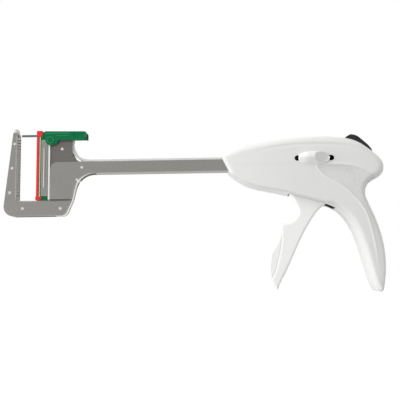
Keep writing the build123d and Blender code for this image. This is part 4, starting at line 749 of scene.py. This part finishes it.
top_line = smooth_line(
    [nose_top, (9.6, 14.6), (27.0, 18.9), (55.4, 23.2), (88.0, 25.6), (113.0, 24.5), (128.0, 20.5),
     (138.4, 13.8), bulb_top],
    (1, 0.6), bulb_way, 0.9,
)
rear_line = smooth_line(
    [bulb_top, (152.1, -1.6), (149.6, -11.4), (139.7, -17.8), (134.3, -25.2), web_low], bulb_way, web_way, 0.7
)
back_line = smooth_line(
    [web_low, (141.7, -52.1), (147.4, -72.0), (149.0, -92.0), heel], web_way, heel_way, 0.9
)
toe_line = smooth_line([heel, (143.8, -120.4), toe], heel_way, toe_way, 0.4)
front_line = smooth_line(
    [toe, (136.0, -108.8), (131.5, -91.3), (126.6, -74.1), (118.8, -56.0), (107.8, -43.9), trigger_rear],
    toe_way, under_way, 0.9,
)
under_line = smooth_line(
    [trigger_rear, (75.0, -31.9), (50.0, -25.5), (32.7, -21.9), (19.0, -16.6), nose_low],
    under_way, (-0.8, 0.6), 0.9,
)
nose_steps = np.linspace(0, 1, 24)[:, None]
nose_line = np.array(nose_low) * (1 - nose_steps) + np.array(nose_top) * nose_steps
sides = [top_line, rear_line, back_line, toe_line, front_line, under_line, nose_line]
housing_outline = np.vstack([side[:-1] for side in sides])
print("housing outline:", len(housing_outline), "points")

# %% [markdown]
# ### The rims
# Each side of the outline rolls over by its own amount, which changes from one end to the other: widely on
# the top and round the bulb, where the hand rests, tightly along the underside. A bevel has one width
# unless each edge is weighted, so the amounts are given per side, once along the flank and once into the
# depth, and blended where two sides meet. The two corners of the nose are rounded on the outline itself.

# %% How far each rim rolls over
rolls = {
    "top": ((6.0, 8.0), (6.0, 9.0)),
    "rear": ((8.0, 6.0), (9.0, 7.5)),
    "back": ((6.4, 3.6), (7.5, 5.0)),
    "toe": ((3.4, 3.4), (4.5, 4.0)),
    "front": ((3.6, 4.8), (4.5, 6.5)),
    "under": ((1.8, 1.8), (1.9, 1.9)),
    "nose": ((4.2, 4.2), (3.4, 3.4)),
}


def along_outline(pairs, window=9):
    """One value for each outline point, blended softly where one side meets the next."""
    values = np.concatenate([np.linspace(*pair, len(side) - 1) for pair, side in zip(pairs, sides)])
    kernel = np.hanning(2 * window + 1)
    padded = np.concatenate([values[-window:], values, values[:window]])
    return np.convolve(padded, kernel / kernel.sum(), "valid")


def soften_corner(outline, corner, radius):
    """The outline with a rounded corner: the points near it lie on a small arc between its two sides."""
    count = len(outline)
    dist = np.linalg.norm(outline - corner, axis=1)
    first = last = int(np.argmin(dist))
    while dist[(first - 1) % count] < radius:
        first -= 1
    while dist[(last + 1) % count] < radius:
        last += 1
    near = np.arange(first, last + 1) % count
    before, after = outline[(first - 1) % count], outline[(last + 1) % count]
    steps = np.linspace(0, 1, len(near) + 2)[1:-1, None]
    rounded = outline.copy()
    rounded[near] = (1 - steps) ** 2 * before + 2 * steps * (1 - steps) * np.array(corner) + steps**2 * after
    return rounded


for corner in (nose_top, nose_low):
    housing_outline = soften_corner(housing_outline, corner, 1.5)
roll_in = along_outline([pair[0] for pair in rolls.values()])
roll_deep = along_outline([pair[1] for pair in rolls.values()])
print("rims roll over", roll_in.min().round(1), "to", roll_in.max().round(1), "mm")

# %% [markdown]
# ### The flank
# The flank is flat where the knob slides and draws in towards the nose and the rear. Behind a soft crease
# the web of the thumb is let in: it deepens away from the crease and stops under the rear bulb. Two lines
# taken along those creases give signed distances, and the recess is the smaller of two depths, one for each
# line. Sculpting could do this by hand, but the lines can be moved later, and both halves stay the same.

# %% Plan, creases and slot
plan = np.vstack([
    smooth_line([(-3.7, 10.0), (65.25, 15.0)], (1, 0.14), (1, 0), 1.0),
    smooth_line([(112.7, 15.0), (157.6, 12.8)], (1, 0), (1, -0.12), 1.0),
])
crease = smooth_line(
    [(86.6, 4.0), (87.3, -2.0), (88.7, -6.0), (93.1, -11.6), (102.3, -17.3), (111.5, -23.0), (119.0, -30.3),
     (126.3, -38.4), (132.1, -49.3), (136.0, -63.4), (138.6, -77.3), (140.6, -92.0), (142.0, -106.0)],
    (0.05, -1), (0.1, -1), 0.7,
)
bulb_line = smooth_line(
    [(80.0, -1.2), (90.0, -1.6), (100.0, -2.0), (112.4, -2.6), (121.8, -4.2), (129.5, -6.9), (138.6, -11.6),
     (143.9, -14.9), (150.0, -20.0)],
    (1, 0), (1, -0.9), 0.7,
)
shoulder_line = smooth_line(
    [(21.5, 9.3), (38.9, 13.1), (56.3, 15.9), (72.7, 17.0), (87.8, 17.0), (111.4, 15.8), (119.3, 14.3),
     (126.9, 11.5), (137.6, 5.7), (143.7, 0.1)],
    (1, 0.26), (0.6, -0.8), 0.8,
)
slot_centre, slot_length, slot_height = (85.6, 3.9), 36.9, 5.0


def slot_shape(count=12, grow=0.0):
    """Outline of the knob's slot with round ends, clockwise, grown by some millimetres."""
    half = slot_height / 2 + grow
    straight = slot_length / 2 - slot_height / 2
    angles = np.linspace(-math.pi / 2, math.pi / 2, count)
    x, z = slot_centre
    right = [(x + straight + half * math.cos(-a), z + half * math.sin(-a)) for a in angles]
    left = [(x - straight - half * math.cos(a), z + half * math.sin(a)) for a in angles]
    return np.array(right + left)


slot_outline = slot_shape()
print("crease", len(crease), "bulb", len(bulb_line), "shoulder", len(shoulder_line), "points")

# %% Depth of the web
bead_height, bead_width = 0.4, 0.5
web_limit = 4.4
blend = 0.25


def fade_in(value, start, end):
    """0 before the start, 1 after the end, with a soft change between."""
    t = np.clip((value - start) / (end - start), 0, 1)
    return t * t * (3 - 2 * t)


def soft_least(one, two):
    """The smaller of two depths, rounded where they are alike, and 0 where either is 0."""
    least = -blend * np.log(np.exp(-one / blend) + np.exp(-two / blend))
    return least + blend * math.log(2) * np.exp(-np.minimum(one, two) / blend)


def web_depth(spots):
    """How deep the web of the thumb is let in, less a bead on its creases, and a mask of its grain and
    painted shade.
    """
    crease_gap, crease_at, crease_side = line_distance(spots, crease)
    bulb_gap, bulb_at, bulb_side = line_distance(spots, bulb_line)
    behind = np.where(crease_side < 0, crease_gap, 0.0)
    below = np.where(bulb_side > 0, bulb_gap, 0.0)
    low_fade = 1 - 0.5 * fade_in(-spots[:, 1], 50, 100)
    from_crease = (0.25 * (1 - np.exp(-behind / 0.45)) + 0.12 * behind + 0.006 * behind**2) * low_fade
    from_bulb = 0.3 * (1 - np.exp(-below / 0.4)) + 0.42 * below
    crease_ends = fade_in(crease_at, 0, 6) * (1 - fade_in(crease_at, len(crease) - 40, len(crease) - 4))
    bulb_end = 1 - fade_in(bulb_at, len(bulb_line) - 12, len(bulb_line))
    bead = bead_height * np.exp(-((crease_gap / bead_width) ** 2)) * crease_ends
    bead *= fade_in(np.where(bulb_side > 0, bulb_gap, -bulb_gap), -0.5, 0.5)
    bead += bead_height * np.exp(-((bulb_gap / bead_width) ** 2)) * fade_in(behind, 0, 1) * bulb_end
    inside = fade_in(np.minimum(behind, below), 0.2, 0.9) * (1 - fade_in(-spots[:, 1], 46, 80))
    depth = np.maximum(soft_least(from_crease, from_bulb), 0)
    return web_limit * np.tanh(depth / web_limit) - bead, inside


web_middle = np.array([(121.0, -13.0)])
print("the web is", web_depth(web_middle)[0].round(1)[0], "mm deep at its middle")

# %% Flank and rims
valley_depth, valley_width = 0.5, 1.2
slot_rim = (0.5, 0.35)


def rolled(gap, into, deep):
    """Depth lost to a rim that rolls over as a quarter ellipse."""
    t = np.clip(1 - gap / into, 0, 1)
    return deep * (1 - np.sqrt(1 - t * t))


def flank(spots):
    """Half width of the housing at each spot, before its rims roll over."""
    web, _ = web_depth(spots)
    gap, where, _ = line_distance(spots, shoulder_line)
    last = len(shoulder_line)
    ends = fade_in(where, 4, 50) * (1 - fade_in(where, last - 22, last - 4))
    valley = valley_depth * np.exp(-((gap / valley_width) ** 2)) * ends
    return np.interp(spots[:, 0], plan[:, 0], plan[:, 1]) - web - valley


def housing_depth(spots, loop):
    """Half width of the housing at each spot, with its rims and the softened edge of the knob's slot."""
    gap, where, _ = line_distance(spots, loop)
    index = np.arange(len(roll_in) + 1)
    into = np.interp(where, index, np.append(roll_in, roll_in[0]))
    deep = np.interp(where, index, np.append(roll_deep, roll_deep[0]))
    slot_gap, _, _ = line_distance(spots, np.vstack([slot_outline, slot_outline[:1]]))
    return flank(spots) - rolled(np.maximum(gap, 0), into, deep) - rolled(slot_gap, *slot_rim)


print("half width in the middle of the grip:", flank(np.array([(132.0, -80.0)])).round(1)[0], "mm")

# %% Press both halves
slot_rings = [slot_shape(16, grow) for grow in (0.0, 0.04, 0.14, 0.28, 0.5)]
crease_rings = [crease + shift for shift in ((0, 0), (0.35, 0.2), (0.8, 0.45), (-0.35, -0.2))]
bulb_rings = [bulb_line + shift for shift in ((0, 0), (-0.1, -0.4), (-0.2, -0.9), (0.1, 0.4))]
shoulder_rings = [shoulder_line + shift for shift in ((0, 0), (0, 0.8), (0, -0.8), (0, 1.6), (0, -1.6))]
half_verts, half_faces = press(
    housing_outline, roll_in, housing_depth, slot_rings + crease_rings + bulb_rings + shoulder_rings, grid=1.8
)
print("pressed", len(half_verts), "points,", len(half_faces), "faces")

# %% [markdown]
# ### Openings
# A real half is hollow and has ways for the shaft, the trigger, the button and the knob, and wells for its
# screws on the right. Faces could be deleted, but then the walls would have no thickness. Closed boxes and
# prisms are cut out with exact booleans instead, and the cut faces are painted near black as painted shade,
# since little light reaches them.

# %% Open the halves
both_sides = (("left", False), ("right", True))
screw_spots = [(22.0, 12.6), (26.0, -14.0), (104.0, 18.0), (121.0, -37.0), (142.0, -98.0), (146.0, -3.5)]
well_radius, well_floor = 2.8, 6.5
beyond = 30
ring_turn = np.linspace(0, 2 * math.pi, 33)[:-1]


def housing_cutters(flip):
    """What is hollow or open in a half: mechanism, shaft, trigger way, button way and knob slot."""
    cutters = [
        box_mesh("hollow_front", (9, -7.7, -8.5), (64, 7.7, 10.5)),
        box_mesh("hollow_rear", (50, -7.2, -17), (131.5, 7.2, 15)),
        box_mesh("hollow_knob", (64, -12.6, -2), (107, 12.6, 10)),
        box_mesh("hollow_low", (62.3, -7.2, -30), (105.5, 7.2, -12)),
        box_mesh("shaft_way", (-8, -6.55, -5.65), (30.4, 6.55, 5.65)),
        box_mesh("strap_way", (-8, -2.8, 0), (30.4, 2.8, 8.7)),
        box_mesh("trigger_way", (62.3, -6.3, -60), (105.5, 6.3, -20)),
        box_mesh("button_way", (116.6, -5.8, 6.8), (144.5, 5.8, 40)),
    ]
    near, far = (0, beyond) if flip else (-beyond, 0)
    cutters.append(prism_mesh("knob_slot", slot_outline, near, far))
    if flip:
        well = well_radius * np.stack([np.cos(ring_turn), np.sin(ring_turn)], 1)
        cutters += [prism_mesh("screw_well", well + spot, well_floor, beyond) for spot in screw_spots]
    return cutters


def mark_web_grain_and_shade(piece):
    """Marks the web on the finished mesh, for the material's grain and painted shade."""
    spots = np.array([(v.co.x / MM, v.co.z / MM) for v in piece.data.vertices])
    outward = np.array([abs(v.co.y) / MM for v in piece.data.vertices])
    _, inside = web_depth(spots)
    field_mark = piece.data.attributes.new("grain_shade_mark", "FLOAT", "POINT")
    field_mark.data.foreach_set("value", (inside * (outward > 3)).astype(np.float32))


for side_name, flip in both_sides:
    half = add_piece(
        f"housing_shell_{side_name}", half_verts, half_faces, paints["white_plastic"], "frame", flip
    )
    carve(half, housing_cutters(flip))
    smooth(half)
    mark_web_grain_and_shade(half)
    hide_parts(f"housing_{side_name}")
    print(half.name, len(half.data.polygons), "faces")

# %% [markdown]
# ## The trigger
# The trigger is pressed in the same way, as two halves that meet in the middle. A fine groove runs down
# its flank behind the lip, and in front of it the finger face is a little thinner, with faint ribs across
# it. The ribs could be a bump in the material, but a visible form belongs in the mesh, so they are part of
# the depth.

# %% Lines of the trigger
notch_end, belly_top, tip, hub_rear = (54.4, -56.4), (52.4, -60.0), (48.6, -118.6), (99.0, -37.4)
notch_line = smooth_line(
    [(63.2, -28.5), (67.8, -36.8), (70.2, -45.8), (67.0, -51.8), notch_end], (0.75, -1), (-1, -0.05), 0.6
)
belly_line = smooth_line(
    [belly_top, (51.0, -70.0), (43.6, -82.6), (40.9, -95.5), (42.9, -110.0), tip], (0, -1), (0.62, -1), 0.6
)
lever_line = smooth_line(
    [tip, (58.6, -98.6), (73.4, -68.2), (82.2, -53.6), (90.0, -43.6), hub_rear], (0.4, 1), (1, 0.4), 0.8
)
hub_line = np.array([hub_rear, (97.6, -34.0), (92.0, -28.0), (82.3, -21.0), (71.0, -22.0)])
lip_line = smooth_line(
    [(54.0, -57.2), (54.0, -64.2), (53.6, -74.4), (51.9, -83.6), (49.8, -91.9), (46.7, -101.1),
     (42.2, -111.0)],
    (0, -1), (-0.4, -1), 0.6,
)
trigger_outline = np.vstack([notch_line, belly_line[:-1], lever_line[:-1], hub_line])[::-1]
print("trigger outline:", len(trigger_outline), "points")

# %% Press the trigger
trigger_half = 6.0
trigger_rim = 2.4
lip_depth, lip_width, face_step = 0.4, 0.45, 0.12
rib_depth, rib_pitch = 0.2, 2.6


def trigger_depth(spots, loop):
    """Half width of the trigger: a flat flank, rolled rims, and the ribbed finger face before the lip."""
    gap, _, _ = line_distance(spots, loop)
    lip_gap, _, side = line_distance(spots, lip_line)
    before = np.where(side > 0, lip_gap, 0.0)
    below_notch = fade_in(-spots[:, 1], 57, 62)
    lip = lip_depth * np.exp(-((lip_gap / lip_width) ** 2)) * below_notch
    face = lip + face_step * (1 - np.exp(-before / 0.5)) * below_notch
    wave = 0.5 + 0.5 * np.cos(2 * math.pi * spots[:, 1] / rib_pitch)
    lower = fade_in(-spots[:, 1], 72, 80) * (1 - fade_in(-spots[:, 1], 104, 110))
    ribs = rib_depth * wave * fade_in(before, 1.0, 2.4) * lower
    return trigger_half - face - ribs - rolled(np.maximum(gap, 0), trigger_rim, trigger_rim)


lip_rings = [lip_line + shift for shift in ((0, 0), (-0.3, 0), (-0.7, 0), (0.3, 0))]
trigger_reach = np.full(len(trigger_outline), trigger_rim)
trigger_verts, trigger_faces = press(
    trigger_outline, trigger_reach, trigger_depth, lip_rings, grid=1.1, seam=0.15
)
for side_name, flip in both_sides:
    half = add_piece(
        f"trigger_form_{side_name}", trigger_verts, trigger_faces, paints["trigger_plastic_lit"], "trigger", flip
    )
    smooth(half)
    print(half.name, len(half.data.polygons), "faces")
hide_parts("trigger")

# %% [markdown]
# ## The knobs
# Each knob is a low dome with a soft ridge along it. Its rear half is scooped out for the thumb, and the
# floor of the scoop slopes inwards to the rear. The outline is a swollen ellipse, which takes a formula and
# no points. The knob is pressed with a fine grid, because it is small and its highlights show every facet.
# The scoop is marked on the mesh, so that its finish can be a little darker: painted shade, as the scoop
# turns away from the light.

# %% Form of the knobs
knob_centre = np.array([84.9, 3.7])
knob_half_length, knob_half_height = 14.3, 6.0
swell = 0.8
turn_steps = np.linspace(0, 2 * math.pi, 97)[:-1]
circle = np.stack([np.cos(-turn_steps), np.sin(-turn_steps)], 1)
knob_outline = knob_centre + (knob_half_length, knob_half_height) * np.sign(circle) * np.abs(circle) ** swell
ridge_width, ridge_rise, ridge_softness = 20.0, 0.9, 1.2
fall_above, fall_below = 0.34, 0.85
front_fall, front_start, front_end = 2.6, 4.5, 15.0
knob_rim = (1.9, 1.3)
knob_base = 15.05
scoop_place, scoop_half_length, scoop_half_height = 7.4, 7.0, 4.9
scoop_floor, scoop_slope, scoop_start = 19.3, 0.29, 0.6


def scoop_share(spots):
    """1 inside the thumb scoop of a knob, 0 outside, with a soft edge."""
    along, across = spots[:, 0] - knob_centre[0], spots[:, 1] - knob_centre[1] - ridge_rise
    reach = (np.abs(along - scoop_place) / scoop_half_length) ** 3 + (np.abs(across) / scoop_half_height) ** 3
    return 1 - fade_in(reach, 0.72, 1.04)


def knob_depth(spots, loop):
    """How far the knob reaches out: a soft ridge along it, and a flat thumb scoop in its rear half."""
    gap, _, _ = line_distance(spots, loop)
    along = spots[:, 0] - knob_centre[0]
    across = spots[:, 1] - knob_centre[1] - ridge_rise
    fall = np.where(across > 0, fall_above, fall_below)
    ridge = ridge_width - fall * (np.sqrt(across**2 + ridge_softness**2) - ridge_softness)
    front = front_fall * fade_in(-along, front_start, front_end) ** 1.3
    body = ridge - front - rolled(np.maximum(gap, 0), *knob_rim)
    scooped = scoop_floor - scoop_slope * np.maximum(along - scoop_start, 0)
    return body + (np.minimum(scooped, body) - body) * scoop_share(spots)


print("knob outline:", len(knob_outline), "points,", 2 * knob_half_length, "mm long")


# %% Press the knobs
def mark_scoop(piece):
    """Marks the thumb scoop on the finished mesh, for the material's painted shade and faint grain."""
    spots = np.array([(v.co.x / MM, v.co.z / MM) for v in piece.data.vertices])
    field_mark = piece.data.attributes.new("grain_shade_mark", "FLOAT", "POINT")
    field_mark.data.foreach_set("value", scoop_share(spots).astype(np.float32))


knob_reach = np.full(len(knob_outline), 2.0)
knob_verts, knob_faces = press(knob_outline, knob_reach, knob_depth, grid=0.5, seam=0.1, base=knob_base)
for side_name, flip in both_sides:
    knob = add_piece(
        f"knob_form_{side_name}", knob_verts, knob_faces, paints["knob_plastic"], "pin_slider", flip
    )
    smooth(knob)
    mark_scoop(knob)
    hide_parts(f"slider_knob_{side_name}")
    print(knob.name, len(knob.data.polygons), "faces")

# %% [markdown]
# ## Pockets of the anvil
# Each staple pocket bends the legs of one staple. Its outer wall and lip lie in shade, with a lit bridge
# before the next, and at the camera's low angle these are all that shows of the pockets: a row of dark
# dashes. A striped material could draw them, but it would slip off the pockets from every other side. So
# each pocket gets a thin lip of its own, near black as painted shade, and its bridge a lip of near-white
# steel as a painted highlight; a loop sets them at the pitch of the two staggered rows.


# %% Skins from rings
def ring_faces(levels, count, closed=False):
    """Quads that join each ring of vertices to the next, with end caps unless the last meets the first."""
    faces = []
    for level in range(levels if closed else levels - 1):
        here, there = level * count, (level + 1) % levels * count
        for i in range(count):
            j = (i + 1) % count
            faces.append((here + i, here + j, there + j, there + i))
    if not closed:
        last = (levels - 1) * count
        faces += [tuple(range(count))[::-1], tuple(range(last, last + count))]
    return faces


def turned(faces):
    """The same faces, looking the other way."""
    return [face[::-1] for face in faces]


def joined(parts):
    """Vertices and faces of several meshes as one."""
    all_verts, all_faces = [], []
    for verts, faces in parts:
        all_faces += [tuple(i + len(all_verts) for i in face) for face in faces]
        all_verts += verts
    return all_verts, all_faces


print("two rings of four make", len(ring_faces(2, 4)), "faces, which is a box")

# %% Pocket lips
anvil_face = -195.0
pocket_count, pocket_pitch = 20, 2.8
row_middle, row_stagger = 1.6, 0.7
wall_middle = 2.4


def lip_strip(row, low_z, high_z, proud):
    """A short lip along one pocket: down its outer wall and out over the anvil's face."""
    reach = 4.95 if row > 0 else 3.2
    section = [
        (1.62, -0.46), (2.08, -0.4), (2.2, proud), (reach - 0.3, proud), (reach, -0.02), (2.2, -0.3),
        (2.12, -0.48),
    ]
    verts = []
    for z, width in ((low_z, 0.8), (low_z + 0.25, 1.0), (high_z - 0.25, 1.0), (high_z, 0.8)):
        verts += [(anvil_face + x, row * (wall_middle + (y - wall_middle) * width), z) for y, x in section]
    faces = ring_faces(4, len(section))
    return verts, faces if row > 0 else turned(faces)


def lip_row(name, paint, start, length, proud):
    """One lip for each pocket of both rows, as one piece of the anvil."""
    lips = []
    for row in (-1, 1):
        for step in range(pocket_count):
            middle = row_middle + row * row_stagger + (step - (pocket_count - 1) / 2) * pocket_pitch
            lips.append(lip_strip(row, middle + start, middle + start + length, proud))
    verts, faces = joined(lips)
    piece = add_piece(name, verts, faces, paints[paint], "frame")
    smooth(piece, 30)
    print(name, len(faces), "faces")


# Near-black lips: painted shade where the pockets lie in shade.
lip_row("anvil_pocket_painted_shade", "pocket_shade", -0.75, 1.5, 0.03)
# Near-white lips: painted highlight on the bridges between the pockets.
lip_row("anvil_pocket_bridge_highlights", "bridge_highlight_steel", 0.8, 1.2, 0.05)

# %% [markdown]
# ## Band under the neck
# Between the two frame plates of the real one, the lower edge of the neck is closed, and it catches light
# like the plates' own edges. A thin bent band does it, in a lighter steel that paints that highlight, with
# painted shade at its own edges: its path is two straight runs and their rounded corners, and one section is
# carried along it. A curve object with a bevel could carry the section too, but here the few points of the
# section are simpler to give to a loop.


# %% Rounded corner
def round_corner(before, corner, after, radius, count):
    """Points of the arc that rounds a corner."""
    corner = np.array(corner, float)
    one = np.array(before, float) - corner
    two = np.array(after, float) - corner
    one, two = one / np.linalg.norm(one), two / np.linalg.norm(two)
    half = math.acos(np.clip(one @ two, -1, 1)) / 2
    middle = corner + (one + two) / np.linalg.norm(one + two) * radius / math.sin(half)
    start = corner + one * radius / math.tan(half) - middle
    end = corner + two * radius / math.tan(half) - middle
    sweep = math.atan2(start[0] * end[1] - start[1] * end[0], start @ end)
    across = np.array([-start[1], start[0]])
    return [middle + start * math.cos(a) + across * math.sin(a) for a in np.linspace(0, sweep, count)]


print("a rounded corner starts at", round_corner((0, 9), (0, 0), (9, 0), 3, 7)[0].round(2))

# %% Bend the band
neck_corner, flag_corner, heel_corner = (-136.4, -4.6), (-142.6, -31.5), (-149.0, -45.5)
band_path = np.array(
    round_corner((-100, -4.6), neck_corner, flag_corner, 18.0, 24)
    + [np.array(flag_corner)]
    + round_corner(flag_corner, heel_corner, (-190, -45.5), 6.0, 12)
    + [np.array((-158.0, -45.5))]
)
band_run = np.gradient(band_path, axis=0)
band_in = np.stack([band_run[:, 1], -band_run[:, 0]], 1) / np.linalg.norm(band_run, axis=1)[:, None]
if band_in[len(band_in) // 2][0] > 0:
    band_in = -band_in
band_section = [(-3.42, 0.14), (-3.1, 0.06), (3.1, 0.06), (3.42, 0.14), (3.42, 0.5), (-3.42, 0.5)]
band_verts = [
    (x + dx * deep, y, z + dz * deep)
    for (x, z), (dx, dz) in zip(band_path, band_in)
    for y, deep in band_section
]
band_faces = ring_faces(len(band_path), len(band_section))
# The band's lighter steel is a painted highlight along the neck's lower edge.
band = add_piece("neck_edge_band", band_verts, band_faces, paints["bright_steel"], "frame")
smooth(band, 40)
print("neck band:", len(band_faces), "faces")

# %% [markdown]
# ## Beads on the steel
# The shell of the moving jaw has a pressed bead down its side, which stiffens the sheet and catches a line
# of light, and the rim of the anvil shows as a second, finer line of light. Both are half-round strips with
# tapered ends, laid on the flat side, in a lighter steel that paints their highlight; the anvil's strip is
# there only for that painted highlight. A displaced surface would need a dense mesh for the same line.


# %% Long beads
def long_bead(start, end, width, height, lift):
    """A half-round bead in millimetres between two points (x, z), with tapered ends, on the left side."""
    start, end = np.array(start, float), np.array(end, float)
    along = (end - start) / np.linalg.norm(end - start)
    across = np.array([along[1], -along[0]])
    arc = np.linspace(0, math.pi, 9)
    stations = [0.0, 0.012, 0.03, 0.06, 0.5, 0.94, 0.97, 0.988, 1.0]
    tapers = [0.15, 0.55, 0.85, 1.0, 1.0, 1.0, 0.85, 0.55, 0.15]
    verts = []
    for t, size in zip(stations, tapers):
        for a in arc:
            x, z = start + (end - start) * t + across * width * math.cos(a) * size
            verts.append((x, -(lift + height * math.sin(a) * size), z))
    return verts, ring_faces(len(stations), len(arc))


for side_name, flip in both_sides:
    verts, faces = long_bead((-168.2, -18.6), (-168.2, 21.0), 0.6, 0.35, 6.6)
    bead = add_piece(f"jaw_shell_bead_{side_name}", verts, faces, paints["bead_highlight_steel"], "moving_jaw", flip)
    smooth(bead)
    # The anvil's strip is a painted highlight: a lighter line where the anvil's rim catches light.
    verts, faces = long_bead((-194.95, -30.4), (-194.95, 33.4), 0.22, 0.1, 6.45)
    edge_highlight_strip = add_piece(f"anvil_edge_bead_{side_name}", verts, faces, paints["bead_highlight_steel"], "frame", flip)
    smooth(edge_highlight_strip)
print("jaw shell and anvil edge beads:", len(faces), "faces each")

# %% [markdown]
# ## The green reload
# The reload keeps its CAD mesh, with its slots and walls, but seen from below the far wall of its arm would
# hang under the near one. A copy of the mesh is relieved there with a box, which leaves a clean lower edge.
# The near side of the arm has two ribs, a step and a plain raised ring on its round boss, which are small
# enough to be laid on; they are in a lighter green, a painted highlight.

# %% Relieve the arm
reload_form = bpy.data.objects.new("reload_form", nodes["reload_body"].data.copy())
bpy.context.scene.collection.objects.link(reload_form)
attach(reload_form, "moving_jaw")
carve(reload_form, [box_mesh("arm_relief", (-142.6, 3.0, 20.0), (-120.0, 12.0, 28.9))], "green_plastic")
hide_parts("reload_body")
print("reload body relieved:", len(reload_form.data.polygons), "faces")


# %% Ribs and ring on the arm
def raised_ring(centre, radius, tube, lift):
    """A ring in millimetres round a point (x, z), half sunk into the left side."""
    turns = np.linspace(0, 2 * math.pi, 41)[:-1]
    tube_turns = np.linspace(0, 2 * math.pi, 9)[:-1]
    verts = []
    for turn in turns:
        for a in tube_turns:
            reach = radius + tube * math.cos(a)
            x, z = centre[0] + reach * math.cos(turn), centre[1] + reach * math.sin(turn)
            verts.append((x, -(lift + tube * math.sin(a)), z))
    return verts, turned(ring_faces(len(turns), len(tube_turns), closed=True))


arm_side, arm_end_side = 7.95, 7.3
for side_name, flip in both_sides:
    trim_verts, trim_faces = joined((
        long_bead((-167.0, 32.8), (-144.0, 32.8), 0.5, 0.45, arm_side),
        long_bead((-158.5, 30.4), (-144.0, 30.4), 0.4, 0.4, arm_side),
        long_bead((-129.9, 28.0), (-129.9, 33.4), 0.35, 0.3, arm_end_side),
        raised_ring((-162.4, 26.5), 3.1, 0.4, arm_side),
    ))
    trim = add_piece(
        f"arm_trim_{side_name}", trim_verts, trim_faces, paints["green_highlight"], "moving_jaw", flip
    )
    smooth(trim)
print("arm trim:", len(trim_faces), "faces each")

# %% The end
print("the scene is dressed")
